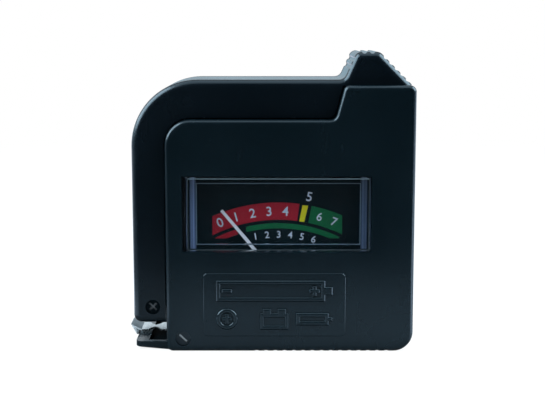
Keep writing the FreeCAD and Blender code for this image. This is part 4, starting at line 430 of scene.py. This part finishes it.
def second_finish(node, low, high, key, facing=ANY_WAY, rising=ANY_WAY):
    """Gives a finish of their own to faces in a box that look to the front and rise within the limits."""
    thing = NODES[node]
    thing.data.materials.append(finish[key])
    slot = len(thing.data.materials) - 1
    for polygon in thing.data.polygons:
        spot = thing.matrix_world @ polygon.center / MM
        inside = all(start < value < end for start, value, end in zip(low, spot, high))
        normal = polygon.normal
        if inside and facing[0] < -normal.y < facing[1] and rising[0] < normal.z < rising[1]:
            polygon.material_index = slot


# The recess in the foot is rough from the mould, and painted with shade in a darker colour.
FOOT_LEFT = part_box("front_housing")[0].x / MM
RECESS_LOW = (FOOT_LEFT + 2.5, -8.9, 0.85)
RECESS_HIGH = (FOOT_LEFT + 6.6, 8.9, 1.69)
for half in ("front_housing", "rear_cover"):
    second_finish(half, RECESS_LOW, RECESS_HIGH, "shaded_matt")

# The turned up lip of the bright contact gets a painted shade in a darker metal, and its cut front edge a
# painted highlight in a pale colour.
CONTACT_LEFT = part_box("lower_contact")[0].x / MM
LIP_LOW = (CONTACT_LEFT - 0.6, -4.0, 2.6)
LIP_EDGE_LOW = (CONTACT_LEFT - 0.6, -4.0, 2.3)
LIP_HIGH = (CONTACT_LEFT + 2.4, 4.0, 4.0)
second_finish("lower_contact", LIP_LOW, LIP_HIGH, "shaded_lip", SIDEWAYS, SLANTING_UP)
second_finish("lower_contact", LIP_EDGE_LOW, LIP_HIGH, "pale_glint", TO_FRONT)

# The rounded edges of the raised panel and of its pictures are rubbed glossy, with a painted shade in a
# darker matt finish where they look down.
PANEL_LOW = (-20.0, -13.0, 2.0)
PANEL_HIGH = (28.0, -12.01, 19.0)
second_finish("front_housing", PANEL_LOW, PANEL_HIGH, "polished", NOT_FLAT)
second_finish("front_housing", PANEL_LOW, PANEL_HIGH, "shaded_matt", NOT_FLAT, DOWNWARD)

# The slots of the two front screws carry painted highlights, pale in the case screw and faint in the arm
# screw, and the head in the arm a painted shade in a darker matt finish.
# Both screws are at the lower left.
SCREWS_LEFT = -30.0
SCREWS_RIGHT = 0.0
SCREWS_TOP = 12.0
SLOT_DEPTHS = (0.2, 0.9)
HEAD_DEPTHS = (-0.1, 0.1)


def front_screw_finish(node, depths, key):
    """Finishes the faces of a front screw that look to the front within two depths from its head's face."""
    start, end = (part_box(node)[0].y / MM + depth for depth in depths)
    second_finish(node, (SCREWS_LEFT, start, 0.0), (SCREWS_RIGHT, end, SCREWS_TOP), key, TO_FRONT)


front_screw_finish("case_screws", SLOT_DEPTHS, "pale_glint")
front_screw_finish("arm_screws", SLOT_DEPTHS, "wear_and_glint")
front_screw_finish("arm_screws", HEAD_DEPTHS, "shaded_matt")


# Printed dial: flat inked shapes that stand a hair in front of the dial plate. Lengths are in millimetres,
# and the bands and numbers follow circles around one point below the middle of the window.
DIAL_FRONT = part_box("dial_plate")[0].y / MM
WINDOW_LOW, WINDOW_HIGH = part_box("meter_window")
WINDOW_FRONT = WINDOW_LOW.y / MM
WINDOW_X = (WINDOW_LOW.x + WINDOW_HIGH.x) / 2 / MM
INK = 0.03
ARC_X = WINDOW_X
ARC_Z = -3.4
ARC_STEP = 0.3
FEWEST_STEPS = 8
UPPER_RADII = (33.5, 29.9)
LOWER_RADII = (29.17, 28.1)
LOWER_EDGE = 22.6
YELLOW_BAR = [(6.82, 29.52), (7.98, 29.42), (7.17, 26.02), (6.13, 26.16)]


def add_piece(name, mesh, material):
    """A piece of the dressed housing with one material."""
    mesh.materials.clear()
    mesh.materials.append(material)
    piece = bpy.data.objects.new(name, mesh)
    bpy.context.scene.collection.objects.link(piece)
    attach(piece, "housing")


def flat_piece(name, outline, material, front, thickness):
    """A thin slab with the given outline of X and Z, its face at the given depth."""
    mesh = bpy.data.meshes.new(name)
    sheet = bmesh.new()
    rings = []
    for depth in (front, front + thickness):
        rings.append([sheet.verts.new(Vector((x, depth, z)) * MM) for x, z in outline])
    first, second = rings
    count = len(outline)
    sheet.faces.new(first)
    sheet.faces.new(list(reversed(second)))
    for index in range(count):
        after = (index + 1) % count
        sheet.faces.new((first[after], first[index], second[index], second[after]))
    bmesh.ops.recalc_face_normals(sheet, faces=sheet.faces)
    sheet.to_mesh(mesh)
    sheet.free()
    add_piece(name, mesh, material)


def on_dial(name, outline, key):
    """An inked shape on the dial plate."""
    flat_piece(name, outline, finish[key], DIAL_FRONT - INK, INK)


def arc_height(radius, x):
    """Height of a circle of the scale at an X."""
    return ARC_Z + math.sqrt(radius ** 2 - (x - ARC_X) ** 2)


def band(left, right, radii, floor=-math.inf):
    """Outline of a piece of a ring, cut off below a floor. An end is the X of its top and its bottom."""
    outer, inner = radii
    steps = max(FEWEST_STEPS, int((right[0] - left[0]) / ARC_STEP))
    upper = []
    lower = []
    for step in range(steps + 1):
        share = step / steps
        high, low = (start + (end - start) * share for start, end in zip(left, right))
        upper.append((high, arc_height(outer, high)))
        lower.append((low, max(arc_height(inner, low), floor)))
    return upper + lower[::-1]


on_dial("dial_band_red", band((-11.8, -11.8), (6.2, 5.69), UPPER_RADII), "red")
on_dial("dial_band_green", band((8.7, 8.0), (15.0, 15.0), UPPER_RADII), "green")
on_dial("dial_bar_yellow", YELLOW_BAR, "yellow")
on_dial("dial_lower_red", band((-11.2, -11.2), (-6.4, -6.6), LOWER_RADII, LOWER_EDGE), "red")
on_dial("dial_lower_green", band((-4.82, -4.82), (14.45, 14.45), LOWER_RADII, LOWER_EDGE), "green")


# Numbers: they lie on the ink of the bands. A figure's height is a share of its type size, and its stroke is
# made stronger by a share of its height. The rows have radii of their own.
NUMBER_DEPTH = DIAL_FRONT - 1.5 * INK
FIGURE_SHARE = 0.70
STROKE_SHARE = 0.012
CURVE_STEPS = 6
BAND_NUMBERS = 31.6
OVER_NUMBERS = 35.2
UNDER_NUMBERS = 26.75


def numeral(name, text, x, z, height, lean):
    """A printed number, centred on a point and leaning with the scale."""
    curve = bpy.data.curves.new(name, "FONT")
    curve.body = text
    curve.size = height / FIGURE_SHARE * MM
    curve.offset = STROKE_SHARE * height * MM
    curve.extrude = INK / 2 * MM
    curve.align_x = "CENTER"
    curve.align_y = "CENTER"
    curve.resolution_u = CURVE_STEPS
    draft = bpy.data.objects.new(name + "_draft", curve)
    bpy.context.scene.collection.objects.link(draft)
    bpy.context.view_layer.update()
    shaped = draft.evaluated_get(bpy.context.evaluated_depsgraph_get())
    mesh = bpy.data.meshes.new_from_object(shaped)
    bpy.data.objects.remove(draft)
    bpy.data.curves.remove(curve)
    upright = Matrix.Rotation(math.radians(90), 4, "X")
    turn = Matrix.Rotation(lean, 4, "Y")
    spot = Matrix.Translation(Vector((x, NUMBER_DEPTH, z)) * MM)
    mesh.transform(spot @ turn @ upright)
    mesh.name = name
    add_piece(name, mesh, finish["white"])


def number_row(prefix, first, spots, radius, height):
    """Numbers that count up along the scale, one at each X."""
    for count, x in enumerate(spots, first):
        lean = math.asin((x - ARC_X) / radius)
        numeral(f"{prefix}_{count}", str(count), x, arc_height(radius, x), height, lean)


number_row("dial_number", 0, (-10.2, -6.9, -3.5, -0.1, 3.3), BAND_NUMBERS, height=1.9)
number_row("dial_number", 5, (8.2,), OVER_NUMBERS, height=1.9)
number_row("dial_number", 6, (10.3, 13.3), BAND_NUMBERS, height=1.7)
number_row("dial_small_number", 1, (-2.9, -0.5, 1.9, 4.3, 6.7, 9.1), UNDER_NUMBERS, height=1.4)


# Painted highlights along the bright moulded edges of the clear window, on its front and seen through it,
# and its side walls with painted streaks of light. Half sizes and reaches are measured from the middle of
# its pane.
PANE_Z = 28.45
FILM = 0.03
OUTER_HALF = (18.35, 7.3)
OUTER_LINE = 0.12
INNER_HALF = (16.65, 6.3)
INNER_LINE = 0.14
INNER_DEPTH = -10.68
WALL_REACH = (16.7, 18.05)
WALL_HALF_HEIGHT = 7.35
WALL_DEPTH = -9.07


def window_film(name, box, front, key):
    """A thin rectangle of the clear window, from its left and low sides to its right and high ones."""
    left, low, right, high = box
    outline = [(left, low), (right, low), (right, high), (left, high)]
    flat_piece(name, outline, finish[key], front, FILM)


def line_frame(name, half, line, front, key, top_highlight_key):
    """Four thin strips of painted highlight along the inside of a rectangle, the top one with a finish of
    its own.
    """
    left, right = (WINDOW_X - half[0], WINDOW_X + half[0])
    low, high = (PANE_Z - half[1], PANE_Z + half[1])
    inner_left = left + line
    inner_right = right - line
    window_film(f"{name}_left", (left, low, inner_left, high), front, key)
    window_film(f"{name}_right", (inner_right, low, right, high), front, key)
    window_film(f"{name}_top", (inner_left, high - line, inner_right, high), front, top_highlight_key)
    window_film(f"{name}_bottom", (inner_left, low, inner_right, low + line), front, key)


line_frame("window_outer_highlight", OUTER_HALF, OUTER_LINE, WINDOW_FRONT - FILM, "side_rim_highlight", "top_rim_highlight")
line_frame("window_inner_highlight", INNER_HALF, INNER_LINE, INNER_DEPTH, "inner_rim_highlight", "inner_rim_highlight")
for side, way in (("left", -1), ("right", 1)):
    left, right = sorted(WINDOW_X + way * reach for reach in WALL_REACH)
    box = (left, PANE_Z - WALL_HALF_HEIGHT, right, PANE_Z + WALL_HALF_HEIGHT)
    window_film(f"window_wall_{side}", box, WALL_DEPTH, f"light_streaks_{side}")


# Floor, in metres. A ramp is a span and the strengths at its two ends. Those of mirrored light make the
# floor dim in front of the object and bright on a card at either side of it.
FLOOR_TINT = (0.72, 0.83, 1.0)
FLOOR_CORNERS = [(-1.5, -0.078, 0.0), (1.5, -0.078, 0.0), (1.5, 2.0, 0.0), (-1.5, 2.0, 0.0)]
FLOOR_MOTTLE = 3.0
FLOOR_TONES = (0.93, 0.95)
FAR_WHITE = ((0.10, 0.45), (0.88, 1.0))
FRONT_DIMMING = ((-0.021, -0.014), (0.63, 0.92))
LEFT_DIMMING = ((-0.024, -0.017), (0.2, 0.0))
REAR_LIGHT = ((0.012, 0.03), (0.0, 0.92))
RIGHT_CARD = ((0.030, 0.042), (0.0, 4.6))
RIGHT_CARD_REAR = ((-0.016, -0.004), (1.0, 0.12))
RIGHT_CARD_FRONT = ((0.0, 0.015), (0.0, 1.0))
RIGHT_CARD_SLANT = 0.6
LEFT_CARD = ((-0.052, -0.042), (1.8, 0.0))
LEFT_CARD_END = ((-0.080, -0.068), (0.0, 1.0))
LEFT_CARD_FRONT = ((-0.046, -0.034), (0.0, 1.0))


def seen_rays(tree):
    """One for camera, mirror and refracted rays."""
    path = add_node(tree, "LightPath")
    reflected = combine(tree, "MAXIMUM", path.outputs["Is Camera Ray"], path.outputs["Is Glossy Ray"])
    return combine(tree, "MAXIMUM", reflected, path.outputs["Is Transmission Ray"])


def side_cards(tree, x, y):
    """Light of the cards at the right and at the left of the object."""
    slant = combine(tree, "MULTIPLY", x, RIGHT_CARD_SLANT, clamp=False)
    aside = combine(tree, "ADD", y, slant, clamp=False)
    right_rear = remap(tree, y, *RIGHT_CARD_REAR)
    right_part = combine(tree, "MULTIPLY", right_rear, remap(tree, aside, *RIGHT_CARD_FRONT))
    right_card = combine(tree, "MULTIPLY", remap(tree, x, *RIGHT_CARD), right_part, clamp=False)
    left_end = remap(tree, x, *LEFT_CARD_END)
    left_part = combine(tree, "MULTIPLY", left_end, remap(tree, y, *LEFT_CARD_FRONT))
    left_card = combine(tree, "MULTIPLY", remap(tree, x, *LEFT_CARD), left_part, clamp=False)
    return combine(tree, "ADD", right_card, left_card, clamp=False)


def floor_light(tree):
    """Strength and tint of the floor's own light, even for the camera and shaped for mirrored rays."""
    place = split_place(tree, "Object")
    x, y = place["X"], place["Y"]
    glossy = add_node(tree, "LightPath").outputs["Is Glossy Ray"]
    shaded = combine(tree, "ADD", remap(tree, y, *FRONT_DIMMING), remap(tree, x, *LEFT_DIMMING))
    dimmed = combine(tree, "SUBTRACT", shaded, remap(tree, y, *REAR_LIGHT))
    plain = combine(tree, "SUBTRACT", 1.0, combine(tree, "MULTIPLY", glossy, dimmed))
    cards = combine(tree, "MULTIPLY", glossy, side_cards(tree, x, y), clamp=False)
    tint = blend_colours(tree, glossy, WHITE, FLOOR_TINT)
    return combine(tree, "ADD", plain, cards, clamp=False), tint


def make_floor():
    """A white floor that keeps the object's shadow."""
    material = bpy.data.materials.new("floor_white")
    material.use_nodes = True
    tree = material.node_tree
    tree.nodes.clear()
    tone = patches(tree, FLOOR_MOTTLE, result=FLOOR_TONES)
    colour = add_node(tree, "CombineColor")
    for socket in colour.inputs[:3]:
        tree.links.new(tone, socket)
    matt = add_node(tree, "BsdfDiffuse")
    glow = add_node(tree, "Emission")
    share = add_node(tree, "MixShader")
    output = add_node(tree, "OutputMaterial")
    tree.links.new(colour.outputs[0], matt.inputs["Color"])
    place = add_node(tree, "TexCoord")
    far = add_node(tree, "VectorMath", operation="LENGTH")
    tree.links.new(place.outputs["Object"], far.inputs[0])
    white = remap(tree, far.outputs["Value"], *FAR_WHITE)
    strength, tint = floor_light(tree)
    tree.links.new(strength, glow.inputs["Strength"])
    tree.links.new(tint, glow.inputs["Color"])
    tree.links.new(combine(tree, "MULTIPLY", seen_rays(tree), white), share.inputs[0])
    tree.links.new(matt.outputs[0], share.inputs[1])
    tree.links.new(glow.outputs[0], share.inputs[2])
    tree.links.new(share.outputs[0], output.inputs["Surface"])
    mesh = bpy.data.meshes.new("floor")
    mesh.from_pydata(FLOOR_CORNERS, [], [(0, 1, 2, 3)])
    mesh.materials.append(material)
    floor = bpy.data.objects.new("floor", mesh)
    bpy.context.scene.collection.objects.link(floor)


# World: ramps over a direction's depth and height, each a span and the strengths at its two ends, and the
# heights between which the tint of the horizon gives way to that of the room.
HORIZON_TINT = (0.58, 0.84, 1.0)
ROOM_TINT = (0.86, 0.94, 1.0)
ROOM_DEPTH = ((-0.35, 0.25), (0.02, 0.96))
ROOM_HEIGHT = ((0.40, 0.62), (1.0, 0.12))
TINT_HEIGHTS = (0.10, 0.22)
AMBIENT = 0.5


def make_world():
    """White for the camera, a dim room in front and a bright one behind for mirrored rays."""
    world = bpy.data.worlds.new("studio")
    bpy.context.scene.world = world
    world.use_nodes = True
    tree = world.node_tree
    back = tree.nodes["Background"]
    way = split_place(tree, "Generated")
    path = add_node(tree, "LightPath")
    around = remap(tree, way["Y"], *ROOM_DEPTH)
    room = combine(tree, "MULTIPLY", around, remap(tree, way["Z"], *ROOM_HEIGHT))
    plain = path.outputs["Is Camera Ray"]
    bent = combine(tree, "MAXIMUM", path.outputs["Is Glossy Ray"], path.outputs["Is Transmission Ray"])
    scattered = combine(tree, "MINIMUM", path.outputs["Diffuse Depth"], 1.0)
    mirrored = combine(tree, "MULTIPLY", bent, combine(tree, "SUBTRACT", 1.0, scattered))
    direct = combine(tree, "MAXIMUM", plain, mirrored)
    ambient = combine(tree, "MULTIPLY", combine(tree, "SUBTRACT", 1.0, direct), AMBIENT)
    seen = combine(tree, "MAXIMUM", plain, combine(tree, "MULTIPLY", mirrored, room))
    tree.links.new(combine(tree, "ADD", seen, ambient), back.inputs["Strength"])
    tint = blend_colours(tree, remap(tree, way["Z"], TINT_HEIGHTS), HORIZON_TINT, ROOM_TINT)
    tree.links.new(blend_colours(tree, mirrored, WHITE, tint), back.inputs["Color"])


# Lamps: places and sizes in metres, power in watts.
SKY = (0.72, 0.89, 1.0)
MIDDLE = Vector((0.0, 0.0, 0.03))
SIDE_SIZE = (0.45, 0.45)
SIDE_POWER = 5.4


def add_lamp(name, place, size, power):
    """A soft lamp that looks at the middle of the object."""
    data = bpy.data.lights.new(name, "AREA")
    data.shape = "RECTANGLE"
    data.size, data.size_y = size
    data.energy = power
    data.color = SKY
    lamp = bpy.data.objects.new(name, data)
    lamp.location = place
    lamp.rotation_euler = (MIDDLE - lamp.location).to_track_quat("-Z", "Y").to_euler()
    bpy.context.scene.collection.objects.link(lamp)


make_floor()
make_world()
add_lamp("top_lamp", place=(0.0, 0.0, 0.55), size=(0.8, 0.6), power=2.2)
add_lamp("left_lamp", place=(-0.42, -0.02, 0.33), size=SIDE_SIZE, power=SIDE_POWER)
add_lamp("right_lamp", place=(0.42, -0.02, 0.33), size=SIDE_SIZE, power=SIDE_POWER)

# Camera: it looks straight at the front from a little above.
PITCH = math.radians(8.25)
DISTANCE = 250.5 * MM
SIGHT = Vector((0.62, 0.0, 29.70)) * MM
SENSOR_WIDTH = 36.0
LENS = 78.22
NEAREST = 0.01
camera_data = bpy.data.cameras.new("camera")
camera_data.sensor_width = SENSOR_WIDTH
camera_data.lens = LENS
camera_data.clip_start = NEAREST
camera = bpy.data.objects.new("camera", camera_data)
camera.location = SIGHT + Vector((0.0, -math.cos(PITCH), math.sin(PITCH))) * DISTANCE
camera.rotation_euler = (math.pi / 2 - PITCH, 0.0, 0.0)
bpy.context.scene.collection.objects.link(camera)
bpy.context.scene.camera = camera
bpy.context.scene.view_settings.view_transform = "Standard"
